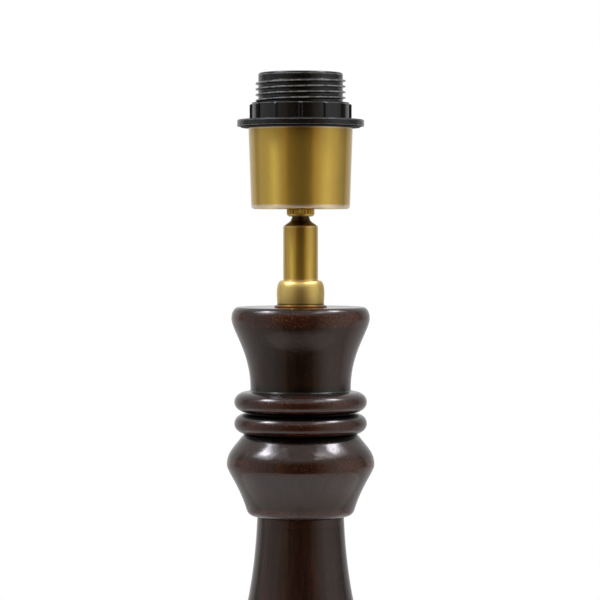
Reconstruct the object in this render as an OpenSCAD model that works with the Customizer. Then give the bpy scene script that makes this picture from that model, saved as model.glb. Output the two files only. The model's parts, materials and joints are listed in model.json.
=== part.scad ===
// Table lamp base: a turned timber body clamped on a threaded tube, a brass
// neck and cup above it, and a screw lampholder with its shade ring on top.
// Millimetres. The lamp stands on z = 0, its axis is Z, the cord leaves at +Y.

/* [Foot] */
// Diameter of the foot at its rounded edge
foot_d = 150; // [130:1:190]
// Height of the timber foot with its plinth
foot_h = 42; // [38:1:56]
// Height of the rounded edge
foot_edge_h = 16; // [15:0.5:18]
// How far the rounded edge swells past the flat underside
foot_edge_swell = 5; // [4:0.5:7]
// Width of the step above the rounded edge
foot_step_w = 4; // [2:0.5:6]
// Height of that step
foot_step_h = 2; // [1:0.5:3]
// Diameter of the recess under the foot
recess_d = 88; // [76:1:96]
// Depth of the counterbore in the foot that takes the weight
counterbore_depth = 2; // [1:0.5:4]
// Thickness of the felt under the foot
felt_t = 1.5; // [1:0.5:3]
// How far the felt stays inside the flat underside
felt_inset = 3; // [2:0.5:6]

/* [Foot weight] */
// Gap between the steel weight and the wall of the recess
weight_gap = 1; // [0.5:0.5:3]
// Thickness of the steel weight
weight_t = 5; // [3:0.5:6]
// Circle that the three weight screws lie on
weight_screw_pcd = 64; // [50:1:66]
// Shank diameter of a weight screw
weight_screw_d = 3.5; // [3:0.5:5]
// How far a weight screw bites into the timber
weight_screw_bite = 5; // [3:0.5:6]

/* [Cord inlet] */
// Bore of the inlet bush
bush_bore_d = 6.4; // [5:0.1:7]
// Wall of the inlet bush
bush_wall = 1.4; // [1:0.1:1.6]
// Width of the collar round the inlet bush
bush_collar_w = 1.6; // [1:0.1:2]
// Thickness of that collar
bush_collar_t = 1.5; // [1:0.1:1.8]

/* [Lower rings] */
// Diameter of the two beads above the foot
lower_bead_d = 72; // [66:1:84]

/* [Column] */
// Height of the column between the lower rings and the capital
column_h = 171; // [140:1:260]
// Diameter of the column under the capital
column_top_d = 38.6; // [34:0.2:44]
// Diameter of the belly
belly_d = 93; // [80:1:110]
// Height of the widest point of the belly above the lower rings
belly_h = 50; // [40:1:70]
// Diameter of the column above the lower rings
column_foot_d = 52; // [46:1:60]

/* [Capital] */
// Diameter of the capital at its lip
capital_d = 61.6; // [54:0.2:70]
// Diameter of the throat under the lip
throat_d = 44.7; // [40:0.1:50]
// Height from the top of the capital to the upper bead
flare_h = 37.4; // [30:0.2:50]
// Height of the rounding of the lip
lip_h = 4.9; // [3:0.1:7]
// Width of the rounding of the lip
lip_w = 3; // [2:0.1:5]
// Diameter of the two beads
bead_d = 59.1; // [56:0.1:64]
// Height of one bead with its groove, also on the lower rings
bead_pitch = 9.6; // [8:0.1:12]
// How far a bead stands out of its groove
bead_depth = 5.6; // [4:0.1:7]
// Diameter of the bulb at its widest
bulb_d = 65.8; // [60:0.2:74]
// Height from the groove above the bulb to its widest point
bulb_shoulder_h = 13.4; // [10:0.2:18]
// Height from the widest point down to the rounded lower edge
bulb_waist_h = 19.8; // [16:0.2:26]
// Height of the rounded lower edge
bulb_edge_h = 3.1; // [2:0.1:5]
// Diameter of the bulb in the groove above it
bulb_top_d = 50.6; // [48:0.2:56]
// Diameter of the bulb above its rounded lower edge
bulb_foot_d = 48.4; // [46:0.2:54]

/* [Timber joints] */
// Diameter of the tenon in the capital
tenon_d = 26; // [20:0.5:30]
// Length of the tenon in the capital
tenon_l = 14.5; // [10:0.5:20]
// Diameter of the tenon through the lower rings
foot_tenon_d = 30; // [24:0.5:38]
// How far the lower tenon enters the foot
foot_tenon_l = 12; // [8:0.5:14]
// Play round and under a tenon
tenon_gap = 0.1; // [0.05:0.05:0.3]

/* [Rod and nuts] */
// Thread diameter of the tube rod
rod_d = 10; // [9:0.1:11]
// Bore of the tube rod, for the flex
rod_bore_d = 7; // [6:0.1:7.6]
// Play between the rod and the timber
rod_play = 0.3; // [0.2:0.05:0.6]
// Play between a thread and its nut
thread_play = 0.05; // [0.03:0.01:0.1]
// How far the rod stands out of its lower nut
rod_end = 1; // [0.5:0.5:2]
// Width across the flats of a rod nut
nut_af = 14; // [13:0.5:15]
// Height of a rod nut
nut_h = 4; // [3:0.5:4.5]
// Diameter of the lower plain washer
washer_d = 25; // [20:1:40]
// Thickness of a plain washer
washer_t = 1.5; // [1:0.5:2]
// Diameter of the toothed washers
star_d = 17.6; // [16:0.2:18]
// Thickness of a toothed washer
star_t = 0.8; // [0.6:0.1:1.2]

/* [Brass neck] */
// Diameter of the bell cap on the timber
bell_d = 21.2; // [20.4:0.1:24]
// Height of the bell cap
bell_h = 11.8; // [9:0.1:16]
// Diameter of the lip of the bell cap
bell_lip_d = 23.3; // [22.4:0.1:27]
// Sheet thickness of the bell cap
bell_t = 0.9; // [0.6:0.1:1.1]
// Diameter of the stem
stem_d = 15.5; // [14:0.1:17]
// Height of the straight part of the stem
stem_h = 24; // [18:0.5:60]
// Height of the hollow shoulder above it
shoulder_h = 3.7; // [2:0.1:5]
// Diameter of the waist above the shoulder
waist_d = 8.8; // [8:0.1:9.6]
// Height of the waist that shows under the knurled nut
waist_h = 0.9; // [0.5:0.1:3]
// Bore of the stem, for the flex
stem_bore_d = 6.4; // [5:0.1:7]
// How far the rod enters the stem
rod_grip = 14; // [8:0.5:16]
// Diameter of the knurled nut
knurl_nut_d = 12.4; // [12:0.1:16]
// Height of the knurled nut
knurl_nut_h = 3.1; // [2.5:0.1:5]
// Number of grooves round the knurled nut
knurl_count = 24; // [16:1:30]

/* [Brass cup] */
// Diameter of the cup at its bottom
cup_foot_d = 43.9; // [43:0.1:46]
// Diameter of the cup at its rim
cup_rim_d = 46.3; // [46:0.1:50]
// Height of the cup
cup_h = 36; // [33:0.5:44]
// Sheet thickness of the cup
cup_t = 0.8; // [0.5:0.1:1]
// Radius of the corner at its bottom
cup_corner_r = 1.4; // [0.8:0.1:2]

/* [Lampholder] */
// Diameter of the outer thread that carries the shade
skirt_thread_d = 40; // [39.4:0.1:41]
// Pitch of that thread
skirt_pitch = 2.5; // [2:0.1:3]
// Depth of that thread
skirt_thread_depth = 1.2; // [0.8:0.1:1.3]
// How far the skirt stands above the shade ring
skirt_rise = 13.3; // [10:0.1:20]
// Wall between the thread and the socket
skirt_wall = 2.4; // [2:0.1:2.6]
// Thickness of the lip at the top of the skirt
skirt_lip_t = 4; // [3:0.1:5]
// Diameter of the opening in that lip
skirt_mouth_d = 29.2; // [28.4:0.1:31]
// Least bore of the lamp thread in the socket
socket_bore_d = 24.4; // [24.2:0.1:24.6]
// Depth of that thread
socket_thread_depth = 1.25; // [1:0.05:1.3]
// Pitch of that thread
socket_pitch = 3.62; // [3.5:0.02:3.7]
// Depth of the socket under the lip
socket_depth = 24.3; // [22.5:0.1:26]
// Sheet thickness of the threaded shell
shell_t = 0.45; // [0.3:0.05:0.5]
// Height of the lower housing
housing_h = 23.2; // [20:0.2:24]
// Diameter of the lower housing
housing_d = 39.6; // [39:0.1:40.6]
// Wall of the lower housing
housing_wall = 2; // [1.6:0.1:2.2]
// Travel of the centre contact
contact_travel = 1.5; // [1:0.1:1.8]

/* [Shade ring] */
// Diameter of the flange
flange_d = 56.4; // [52:0.1:64]
// Thickness of the flange
flange_t = 2.9; // [2:0.1:4]
// Height of the step under the flange
flange_step_h = 0.6; // [0.4:0.1:1.2]
// Width of the flange that overhangs the step
flange_step_w = 1.7; // [1:0.1:2.5]
// Wall of the collar above the flange
collar_wall = 1.5; // [1.2:0.1:2.5]
// Height of the collar above the flange
collar_h = 7.5; // [5:0.1:10]
// Number of grip ribs
rib_count = 12; // [8:1:18]
// Width of a grip rib
rib_w = 1.4; // [1:0.1:2.4]
// How far a grip rib stands out
rib_depth = 1; // [0.6:0.1:1.6]
// Play between the ring and the thread crests
ring_play = 0.15; // [0.1:0.05:0.4]

/* [Hidden] */
$fn = 96;
EPS = 0.01;
CURVE_STEPS = 12;
BEAD_GROOVE_W = 0.4;
RING_GAP = 0.1;
SHOULDER_PLAY = 0.3;
BUSH_SINK = 2;
FIRST_SCREW_ANGLE = 150;
TIMBER = "#3a211a";
BRASS = "#a98a42";
BLACK = "#17171a";
STEEL = "#9a9da0";
PORCELAIN = "#e6e2d8";
FELT = "#1f2622";

// Heights, from the floor up
foot_z = felt_t;
foot_top_z = foot_z + foot_h;
edge_mid_z = foot_z + foot_edge_h / 2;
plinth_top_z = foot_z + foot_edge_h;
recess_top_z = plinth_top_z + counterbore_depth;
lower_rings_h = 2 * bead_pitch;
column_z = foot_top_z + lower_rings_h;
capital_z = column_z + column_h;
capital_h = flare_h + 2 * bead_pitch + bulb_shoulder_h + bulb_waist_h + bulb_edge_h;
timber_top_z = capital_z + capital_h;
bell_top_z = timber_top_z + bell_h;
shoulder_z = bell_top_z + stem_h;
nut_z = shoulder_z + shoulder_h + waist_h;
cup_z = nut_z + knurl_nut_h;
cup_floor_z = cup_z + cup_t;
ring_seat_z = cup_z + cup_h + RING_GAP;
ring_h = flange_step_h + flange_t + collar_h;
skirt_top_z = ring_seat_z + ring_h + skirt_rise;
skirt_lip_z = skirt_top_z - skirt_lip_t;
socket_floor_z = skirt_lip_z - socket_depth;
housing_top_z = cup_floor_z + housing_h;

// Heights of the clamping stack under the foot and inside the bell cap
weight_z = recess_top_z - weight_t;
lower_washer_z = weight_z - washer_t;
lower_star_z = lower_washer_z - star_t;
lower_nut_z = lower_star_z - nut_h;
rod_foot_z = lower_nut_z - rod_end;
upper_washer_z = timber_top_z;
upper_star_z = upper_washer_z + washer_t;
upper_nut_z = upper_star_z + star_t;
rod_top_z = bell_top_z + rod_grip;

// Radii that more than one piece uses
rod_r = rod_d / 2;
thread_r = rod_r + thread_play;
rod_hole_r = rod_r + rod_play;
foot_flat_r = foot_d / 2 - foot_edge_swell;
recess_r = recess_d / 2;
weight_r = recess_r - weight_gap;
crest_r = skirt_thread_d / 2;
root_r = crest_r - skirt_thread_depth;
skirt_bore_r = root_r - skirt_wall;
ring_bore_r = crest_r + ring_play;
collar_r = ring_bore_r + collar_wall;
housing_r = housing_d / 2;
housing_bore_r = housing_r - housing_wall;
bush_outer_r = bush_bore_d / 2 + bush_wall;
bush_collar_r = bush_outer_r + bush_collar_w;
bush_seat_y = foot_d / 2 - BUSH_SINK;

// Lower housing and socket block
HOUSING_FLOOR_T = 4;
HOUSING_BOSS_WALL = 1.6;
ENTRY_BUSH_R = 7;
ENTRY_BUSH_H = 10;
BLOCK_FLOOR_T = 8;
BLOCK_LEG_WALL = 2.2;
SKIRT_SPIGOT_L = 8;
SHOULDER_L = 6;
MOULD_GAP = 0.1;
boss_r = ENTRY_BUSH_R + MOULD_GAP + HOUSING_BOSS_WALL;
block_r = skirt_bore_r - MOULD_GAP;
block_z = cup_floor_z + HOUSING_FLOOR_T;
block_floor_z = socket_floor_z - BLOCK_FLOOR_T;
shell_outer_r = socket_bore_d / 2 + socket_thread_depth + shell_t;
cup_inner_rim_r = cup_rim_d / 2 - cup_t;
shoulder_r = cup_inner_rim_r - SHOULDER_PLAY;
GRUB_D = 3;
GRUB_H = 7;
grub_z = cup_floor_z + GRUB_H;

// Centre contact: a sprung plunger through the floor of the socket
PLUNGER_HEAD_R = 3.4;
PLUNGER_HEAD_T = 1.2;
PLUNGER_DOME_H = 0.9;
PLUNGER_SHANK_R = 1.6;
PLUNGER_STOP_R = 2.6;
PLUNGER_STOP_T = 1.4;
PLUNGER_STOP_GAP = 0.3;
PLUNGER_PLAY = 0.1;
PLUNGER_SEAT_GAP = 0.7;
SPRING_WIRE_R = 0.3;
SPRING_TURNS = 6;
SPRING_STEPS = 8;
SPRING_SIDES = 6;
SPRING_PLAY = 0.2;
plunger_head_z = socket_floor_z + contact_travel + PLUNGER_SEAT_GAP;
spring_r = PLUNGER_SHANK_R + SPRING_PLAY + SPRING_WIRE_R;
spring_well_r = spring_r + SPRING_WIRE_R + SPRING_PLAY;

// Terminals and the strips that lead to them from the two contacts
TERMINAL = [6, 7, 8];
TERMINAL_WIRE_R = 1.4;
TERMINAL_SCREW_R = 1.5;
STRIP_W = 5;
STRIP_T = 0.6;
STRIP_TAB_H = 1;
STRIP_INSET = 3;
TERMINAL_GAP = 0.4;
RIVET_R = 1.2;
RIVET_HEAD_R = 2.2;
RIVET_HEAD_T = 1;
RIVET_GRIP = 2.5;
strip_z = block_floor_z - STRIP_T;
strip_x = shell_outer_r - STRIP_INSET;
terminal_z = strip_z - TERMINAL[2];
terminal_x = strip_x - TERMINAL[0] / 2 - TERMINAL_GAP;

// Socket thread and skirt thread, as shares of one pitch
SOCKET_LAND = 0.25;
SOCKET_SLOPE = 0.22;
RIDGE_FOOT_W = 1.3;
RIDGE_CREST_W = 0.5;
SKIRT_TOP_LAND = 3;
SKIRT_TOP_ROUND = 1;
skirt_thread_z = ring_seat_z + skirt_pitch;
skirt_turns = floor((skirt_top_z - SKIRT_TOP_LAND - skirt_thread_z) / skirt_pitch) + 1;

// Curves: points on a cubic curve, on an arc of an ellipse and on a bead
function bezier(a, b, c, d, steps = CURVE_STEPS) = [
    for (i = [0:steps]) let (t = i / steps, u = 1 - t)
        u * u * u * a + 3 * u * u * t * b + 3 * u * t * t * c + t * t * t * d
];
// A curve from a to b that leaves and arrives along handles, given as shares of its width and height
function curve(a, b, leave, arrive, steps = CURVE_STEPS) = let (span = b - a) bezier(
    a, [a[0] + leave[0] * span[0], a[1] + leave[1] * span[1]],
    [b[0] - arrive[0] * span[0], b[1] - arrive[1] * span[1]], b, steps
);
function ellipse(centre, half, from, to, steps = CURVE_STEPS) = [
    for (i = [0:steps]) let (a = from + (to - from) * i / steps)
        [centre[0] + half[0] * cos(a), centre[1] + half[1] * sin(a)]
];
// A bead of diameter d whose top is at height z
function bead(d, z) = ellipse(
    [d / 2 - bead_depth, z - bead_pitch / 2],
    [bead_depth, bead_pitch / 2 - BEAD_GROOVE_W / 2], 90, -90
);

// A solid of revolution from an outline that runs from top to bottom, filled to the axis
module turned(outline) {
    top = outline[0][1];
    bottom = outline[len(outline) - 1][1];
    rotate_extrude() polygon(concat([[0, top]], outline, [[0, bottom]]));
}

// A round bar or hole between two heights
module rod_between(r, low, high) {
    translate([0, 0, low]) cylinder(r = r, h = high - low);
}

// A tube between two heights
module tube_between(outer, inner, low, high) {
    difference() {
        rod_between(outer, low, high);
        rod_between(inner, low - 1, high + 1);
    }
}

// A hexagon nut with its two faces bevelled
module hex_nut(af, h, hole_r) {
    corner_r = af / sqrt(3);
    bevel = (corner_r - af / 2) * 0.6;
    difference() {
        intersection() {
            cylinder(r = corner_r, h = h, $fn = 6);
            rotate_extrude() polygon([
                [0, 0], [corner_r - bevel, 0], [corner_r, bevel],
                [corner_r, h - bevel], [corner_r - bevel, h], [0, h]
            ]);
        }
        translate([0, 0, -1]) cylinder(r = hole_r, h = h + 2);
    }
}

// A toothed lock washer: a ring with notches cut into its rim
module star_washer(d, t, hole_r) {
    teeth = 10;
    notch_w = 2;
    notch_depth = 2;
    difference() {
        cylinder(d = d, h = t);
        translate([0, 0, -1]) cylinder(r = hole_r, h = t + 2);
        for (i = [0:teeth - 1]) rotate([0, 0, 360 / teeth * i])
            translate([d / 2 - notch_depth, -notch_w / 2, -1]) cube([notch_depth + 1, notch_w, t + 2]);
    }
}

// Places something three times round the axis
module round_three(r) {
    for (i = [0:2]) rotate([0, 0, FIRST_SCREW_ANGLE + 120 * i]) translate([r, 0, 0]) children();
}

module felt_pad() {
    color(FELT) rod_between(foot_flat_r - felt_inset, 0, felt_t);
}

// The rounded edge of the plinth is one arc, so that the cord hole leaves it cleanly
module plinth_edge() {
    half_h = foot_edge_h / 2;
    arc_r = (half_h * half_h + foot_edge_swell * foot_edge_swell) / (2 * foot_edge_swell);
    rotate_extrude() intersection() {
        translate([foot_d / 2 - arc_r, edge_mid_z]) circle(r = arc_r);
        translate([0, foot_z]) square([foot_d / 2 + 1, foot_edge_h]);
    }
    rod_between(foot_d / 2 - arc_r, foot_z, plinth_top_z);
}

// Plinth: the ring that the foot is glued on, with the rounded edge and the cord hole
module plinth() {
    color(TIMBER) difference() {
        plinth_edge();
        rod_between(recess_r, foot_z - 1, plinth_top_z + 1);
        cord_hole(bush_outer_r + MOULD_GAP, recess_r / 2, foot_d / 2 + 1);
        cord_hole(bush_collar_r + 0.2, bush_seat_y, foot_d / 2 + 1);
    }
}

// Foot: a top land, a cove and a small step, with a counterbore underneath for the weight
module foot() {
    top_land_w = 1.6;
    top_land_h = 2;
    top_r = lower_bead_d / 2 - bead_depth + top_land_w;
    step_r = foot_flat_r - foot_step_w;
    cove_low_z = plinth_top_z + foot_step_h;
    cove_high_z = foot_top_z - top_land_h;
    cove = ellipse([step_r, cove_high_z], [step_r - top_r, cove_high_z - cove_low_z], 180, 270);
    color(TIMBER) difference() {
        turned(concat([[top_r, foot_top_z]], cove, [[step_r, plinth_top_z]]));
        rod_between(recess_r, plinth_top_z - 1, recess_top_z);
        rod_between(rod_hole_r, plinth_top_z, foot_top_z + 1);
        rod_between(foot_tenon_d / 2 + tenon_gap, foot_top_z - foot_tenon_l - 2 * tenon_gap, foot_top_z + 1);
        round_three(weight_screw_pcd / 2) rod_between(
            weight_screw_d / 2 + MOULD_GAP / 2, recess_top_z - 1, recess_top_z + weight_screw_bite + 0.5
        );
    }
}

// Cord inlet: a hole along +Y at mid height of the rounded edge
module cord_hole(r, from, to) {
    translate([0, from, edge_mid_z]) rotate([-90, 0, 0]) cylinder(r = r, h = to - from);
}

module cord_bush() {
    bush_end_y = sqrt(recess_r * recess_r - bush_outer_r * bush_outer_r);
    color(BLACK) difference() {
        union() {
            cord_hole(bush_outer_r, bush_end_y, bush_seat_y + bush_collar_t);
            cord_hole(bush_collar_r, bush_seat_y, bush_seat_y + bush_collar_t);
        }
        cord_hole(bush_bore_d / 2, bush_end_y - 1, bush_seat_y + bush_collar_t + 1);
    }
}

module foot_weight() {
    color(STEEL) difference() {
        rod_between(weight_r, weight_z, recess_top_z);
        rod_between(rod_hole_r, weight_z - 1, recess_top_z + 1);
        round_three(weight_screw_pcd / 2)
            rod_between(weight_screw_d / 2 + 0.3, weight_z - 1, recess_top_z + 1);
    }
}

module weight_screws() {
    head_r = weight_screw_d;
    head_h = 2;
    slot_w = 0.9;
    slot_depth = 1;
    color(STEEL) round_three(weight_screw_pcd / 2) difference() {
        union() {
            rod_between(weight_screw_d / 2, weight_z - EPS, recess_top_z + weight_screw_bite);
            rod_between(head_r, weight_z - head_h, weight_z);
        }
        translate([-head_r - 1, -slot_w / 2, weight_z - head_h - 1])
            cube([2 * head_r + 2, slot_w, slot_depth + 1]);
    }
}

// Two beads like those of the capital, on the long tenon of the column
module lower_rings() {
    core_r = lower_bead_d / 2 - bead_depth;
    color(TIMBER) difference() {
        turned(concat(
            [[core_r, column_z]], bead(lower_bead_d, column_z),
            bead(lower_bead_d, column_z - bead_pitch), [[core_r, foot_top_z]]
        ));
        rod_between(foot_tenon_d / 2 + tenon_gap, foot_top_z - 1, column_z + 1);
    }
}

// Column outline: hollow under the capital, a belly, and a hollow above the rings
module column() {
    top = [column_top_d / 2, capital_z];
    belly = [belly_d / 2, column_z + belly_h];
    bottom = [column_foot_d / 2, column_z];
    upper = curve(top, belly, leave = [0.09, 0.56], arrive = [0, 0.27], steps = 2 * CURVE_STEPS);
    lower = curve(belly, bottom, leave = [0, 0.5], arrive = [0.05, 0.3], steps = 2 * CURVE_STEPS);
    color(TIMBER) difference() {
        union() {
            turned(concat(upper, lower));
            rod_between(tenon_d / 2, capital_z - 1, capital_z + tenon_l);
            rod_between(foot_tenon_d / 2, foot_top_z - foot_tenon_l, column_z + 1);
        }
        rod_between(rod_hole_r, foot_top_z - foot_tenon_l - 1, capital_z + tenon_l + 1);
    }
}

// Capital outline: rounded lip, flared throat, two beads and the bulb
module capital() {
    throat_land_h = 1.4;
    shadow_gap = 1;
    bead_z = timber_top_z - flare_h;
    groove_z = bead_z - 2 * bead_pitch;
    bulb_z = groove_z - bulb_shoulder_h;
    lip_low = [capital_d / 2, timber_top_z - lip_h];
    throat = [throat_d / 2, bead_z + throat_land_h];
    bulb_top = [bulb_top_d / 2, groove_z];
    bulb_mid = [bulb_d / 2, bulb_z];
    bulb_foot = [bulb_foot_d / 2, bulb_z - bulb_waist_h];
    bottom = [column_top_d / 2 + shadow_gap, capital_z];
    lip = ellipse([lip_low[0] - lip_w, lip_low[1]], [lip_w, lip_h], 90, 0);
    flare = curve(lip_low, throat, leave = [0, 0.18], arrive = [0, 0.52]);
    shoulder = curve(bulb_top, bulb_mid, leave = [0.54, 0.4], arrive = [0, 0.41]);
    waist = curve(bulb_mid, bulb_foot, leave = [0, 0.15], arrive = [0.36, 0.53]);
    edge = curve(bulb_foot, bottom, leave = [0.13, 0.58], arrive = [0.59, 0]);
    color(TIMBER) difference() {
        turned(concat(
            lip, flare, bead(bead_d, bead_z), bead(bead_d, bead_z - bead_pitch), shoulder, waist, edge
        ));
        rod_between(rod_hole_r, capital_z - 1, timber_top_z + 1);
        rod_between(tenon_d / 2 + tenon_gap, capital_z - 1, capital_z + tenon_l + tenon_gap);
    }
}

module threaded_rod() {
    color(STEEL) tube_between(rod_r, rod_bore_d / 2, rod_foot_z, rod_top_z);
}

module lower_nut() {
    color(STEEL) translate([0, 0, lower_nut_z]) hex_nut(nut_af, nut_h, thread_r);
}

module lower_star_washer() {
    color(STEEL) translate([0, 0, lower_star_z]) star_washer(star_d, star_t, thread_r + 0.1);
}

module lower_washer() {
    color(STEEL) tube_between(washer_d / 2, rod_hole_r, lower_washer_z, weight_z);
}

module upper_washer() {
    color(STEEL) tube_between(star_d / 2, rod_hole_r, upper_washer_z, upper_star_z);
}

module upper_star_washer() {
    color(STEEL) translate([0, 0, upper_star_z]) star_washer(star_d, star_t, thread_r + 0.1);
}

module upper_nut() {
    color(STEEL) translate([0, 0, upper_nut_z]) hex_nut(nut_af, nut_h, thread_r);
}

// Bell cap: a pressed cap over the upper nut, with a thin lip on the timber
function bell_outline(inset) = let (
    crown_w = 2.3, draw_in = 0.25, waist_h = 1.1,
    r = bell_d / 2 - inset, top = bell_top_z - inset,
    middle = [r, top - bell_h / 2], waist = [r - draw_in, timber_top_z + waist_h]
) concat(
    curve([r - crown_w, top], middle, leave = [0.7, 0], arrive = [0, 0.61]),
    curve(middle, waist, leave = [0, 0.5], arrive = [0, 0.21], steps = CURVE_STEPS / 2)
);
module bell_cap() {
    lip_t = 0.5;
    lip_slope_w = 0.5;
    lip_slope_h = 0.15;
    r = bell_d / 2;
    lip_r = bell_lip_d / 2;
    flared_lip = [
        [lip_r - lip_slope_w, timber_top_z + lip_t + lip_slope_h],
        [lip_r, timber_top_z + lip_t], [lip_r, timber_top_z]
    ];
    color(BRASS) difference() {
        turned(concat(bell_outline(0), flared_lip));
        turned(concat(bell_outline(bell_t), [[r - bell_t, timber_top_z - EPS]]));
        rod_between(thread_r + 0.05, timber_top_z, bell_top_z + 1);
    }
}

// Stem: straight body, hollow shoulder, waist, and a threaded spigot into the lampholder
module stem() {
    r = stem_d / 2;
    waist_r = waist_d / 2;
    edge_bevel = 0.3;
    spigot_top_z = cup_floor_z + ENTRY_BUSH_H - 1;
    spigot_bevel = 0.5;
    waist_z = shoulder_z + shoulder_h;
    shoulder = curve(
        [r - edge_bevel, shoulder_z + edge_bevel], [waist_r, waist_z], leave = [0.45, 0.4], arrive = [0, 0.44]
    );
    outline = concat(
        [[rod_r - spigot_bevel, spigot_top_z], [rod_r, spigot_top_z - spigot_bevel]],
        [[rod_r, nut_z], [waist_r, nut_z]],
        [for (i = [len(shoulder) - 1:-1:0]) shoulder[i]],
        [[r, shoulder_z], [r, bell_top_z]]
    );
    color(BRASS) difference() {
        turned(outline);
        rod_between(stem_bore_d / 2, bell_top_z - 1, spigot_top_z + 1);
        rod_between(thread_r, bell_top_z - 1, rod_top_z + 0.2);
    }
}

// Knurled nut: locks the cup and the lampholder on the stem
module knurled_nut() {
    r = knurl_nut_d / 2;
    edge_r = 0.9;
    top_bevel = 0.2;
    groove_r = 0.35;
    groove_out = 0.1;
    outline = concat(
        [[r - top_bevel, cup_z], [r, cup_z - top_bevel]],
        ellipse([r - edge_r, nut_z + edge_r], [edge_r, edge_r], 0, -90, CURVE_STEPS / 2)
    );
    color(BRASS) difference() {
        turned(outline);
        rod_between(thread_r, nut_z - 1, cup_z + 1);
        for (i = [0:knurl_count - 1]) rotate([0, 0, 360 / knurl_count * i])
            translate([r + groove_out, 0, nut_z - 1])
                cylinder(r = groove_r, h = knurl_nut_h + 2, $fn = 16);
    }
}

// Cup: spun sheet with a slight taper and a rounded bottom corner
function cup_outline(inset, past_rim) = let (
    least_corner_r = 0.3, foot_r = cup_foot_d / 2 - inset, low = cup_z + inset,
    corner = max(cup_corner_r - inset, least_corner_r)
) concat(
    [[cup_rim_d / 2 - inset, cup_z + cup_h + past_rim]],
    ellipse([foot_r - corner, low + corner], [corner, corner], 0, -90, CURVE_STEPS / 2)
);
module holder_cup() {
    color(BRASS) difference() {
        turned(cup_outline(0, 0));
        turned(cup_outline(cup_t, 1));
        rod_between(thread_r + 0.1, cup_z - 1, cup_floor_z + 1);
    }
}

module grub_hole(r, from, to) {
    translate([from, 0, grub_z]) rotate([0, 90, 0]) cylinder(r = r, h = to - from);
}

// Lower housing: an open moulding with a boss for the brass entry bush
module lower_housing() {
    edge_bevel = 1.5;
    color(BLACK) difference() {
        turned([
            [housing_r, housing_top_z], [housing_r, cup_floor_z + edge_bevel],
            [housing_r - edge_bevel, cup_floor_z]
        ]);
        difference() {
            rod_between(housing_bore_r, block_z, housing_top_z + 1);
            rod_between(boss_r, block_z - 1, cup_floor_z + ENTRY_BUSH_H);
        }
        rod_between(ENTRY_BUSH_R + MOULD_GAP, cup_floor_z - 1, cup_floor_z + ENTRY_BUSH_H + 1);
        grub_hole(GRUB_D / 2 + MOULD_GAP / 2, ENTRY_BUSH_R - 1, boss_r + 1);
    }
}

module entry_bush() {
    color(BRASS) difference() {
        rod_between(ENTRY_BUSH_R, cup_floor_z, cup_floor_z + ENTRY_BUSH_H);
        rod_between(thread_r, cup_floor_z - 1, cup_floor_z + ENTRY_BUSH_H + 1);
        grub_hole(GRUB_D / 2 + MOULD_GAP / 2, rod_r - 1, ENTRY_BUSH_R + 1);
    }
}

module grub_screw() {
    tip_gap = 0.1;
    slot_w = 0.6;
    slot_depth = 0.8;
    tip_x = rod_r + tip_gap;
    head_x = boss_r;
    color(STEEL) difference() {
        grub_hole(GRUB_D / 2, tip_x, head_x);
        translate([head_x - slot_depth, -GRUB_D, grub_z - slot_w / 2])
            cube([slot_depth + 1, 2 * GRUB_D, slot_w]);
    }
}

// Socket block: porcelain, with a skirt on the housing floor and a wall round the shell
module socket_block() {
    flex_gap = TERMINAL[1];
    color(PORCELAIN) difference() {
        rod_between(block_r, block_z, skirt_lip_z - MOULD_GAP);
        rod_between(shell_outer_r + MOULD_GAP, socket_floor_z, skirt_top_z);
        rod_between(block_r - BLOCK_LEG_WALL, block_z - 1, block_floor_z);
        rod_between(spring_well_r, block_floor_z - 1, socket_floor_z + 1);
        side_slot(MOULD_GAP);
        at_terminals() rod_between(RIVET_R + MOULD_GAP, block_floor_z - 1, socket_floor_z + 1);
        at_terminals()
            rod_between(RIVET_HEAD_R + 2 * MOULD_GAP, socket_floor_z - RIVET_HEAD_T, socket_floor_z + 1);
        for (side = [-1, 1]) translate([-flex_gap / 2, side * block_r - BLOCK_LEG_WALL * 1.5, block_z - 1])
            cube([flex_gap, BLOCK_LEG_WALL * 3, flex_gap + 1]);
    }
}

// Places something at the middle of each of the two terminals
module at_terminals() {
    for (side = [-1, 1]) translate([side * terminal_x, 0, 0]) children();
}

// A flat strip between two places along X, with a hole for its rivet
module strip(from_x, to_x, hole_x) {
    difference() {
        translate([from_x, -STRIP_W / 2, strip_z]) cube([to_x - from_x, STRIP_W, STRIP_T]);
        translate([hole_x, 0, strip_z - 1]) cylinder(r = RIVET_R + MOULD_GAP / 2, h = STRIP_T + 2);
    }
}

// The slot through the floor for the upright part of the side contact
module side_slot(grow) {
    translate([-strip_x - STRIP_T - grow, -STRIP_W / 2 - grow, block_floor_z - 1])
        cube([STRIP_T + 2 * grow, STRIP_W + 2 * grow, socket_floor_z - block_floor_z + 2]);
}

// Side contact: under the floor, up through it, and out to the threaded shell
module side_contact() {
    tab_z = socket_floor_z + STRIP_TAB_H - STRIP_T;
    shell_bore_r = shell_outer_r - shell_t;
    color(BRASS) union() {
        strip(-strip_x - STRIP_T, TERMINAL[0] / 2 - terminal_x, -terminal_x);
        translate([-strip_x - STRIP_T, -STRIP_W / 2, strip_z])
            cube([STRIP_T, STRIP_W, tab_z + STRIP_T - strip_z]);
        intersection() {
            translate([-shell_outer_r, -STRIP_W / 2, tab_z])
                cube([shell_outer_r - strip_x, STRIP_W, STRIP_T]);
            rod_between(shell_bore_r, tab_z - 1, tab_z + 1);
        }
    }
}

// Centre strip: carries the spring of the centre contact and leads to its terminal
module centre_strip() {
    end_x = spring_r + SPRING_WIRE_R + 0.8;
    color(BRASS) difference() {
        strip(-end_x, terminal_x + TERMINAL[0] / 2, terminal_x);
        rod_between(PLUNGER_SHANK_R + PLUNGER_PLAY, strip_z - 1, block_floor_z + 1);
    }
}

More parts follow.
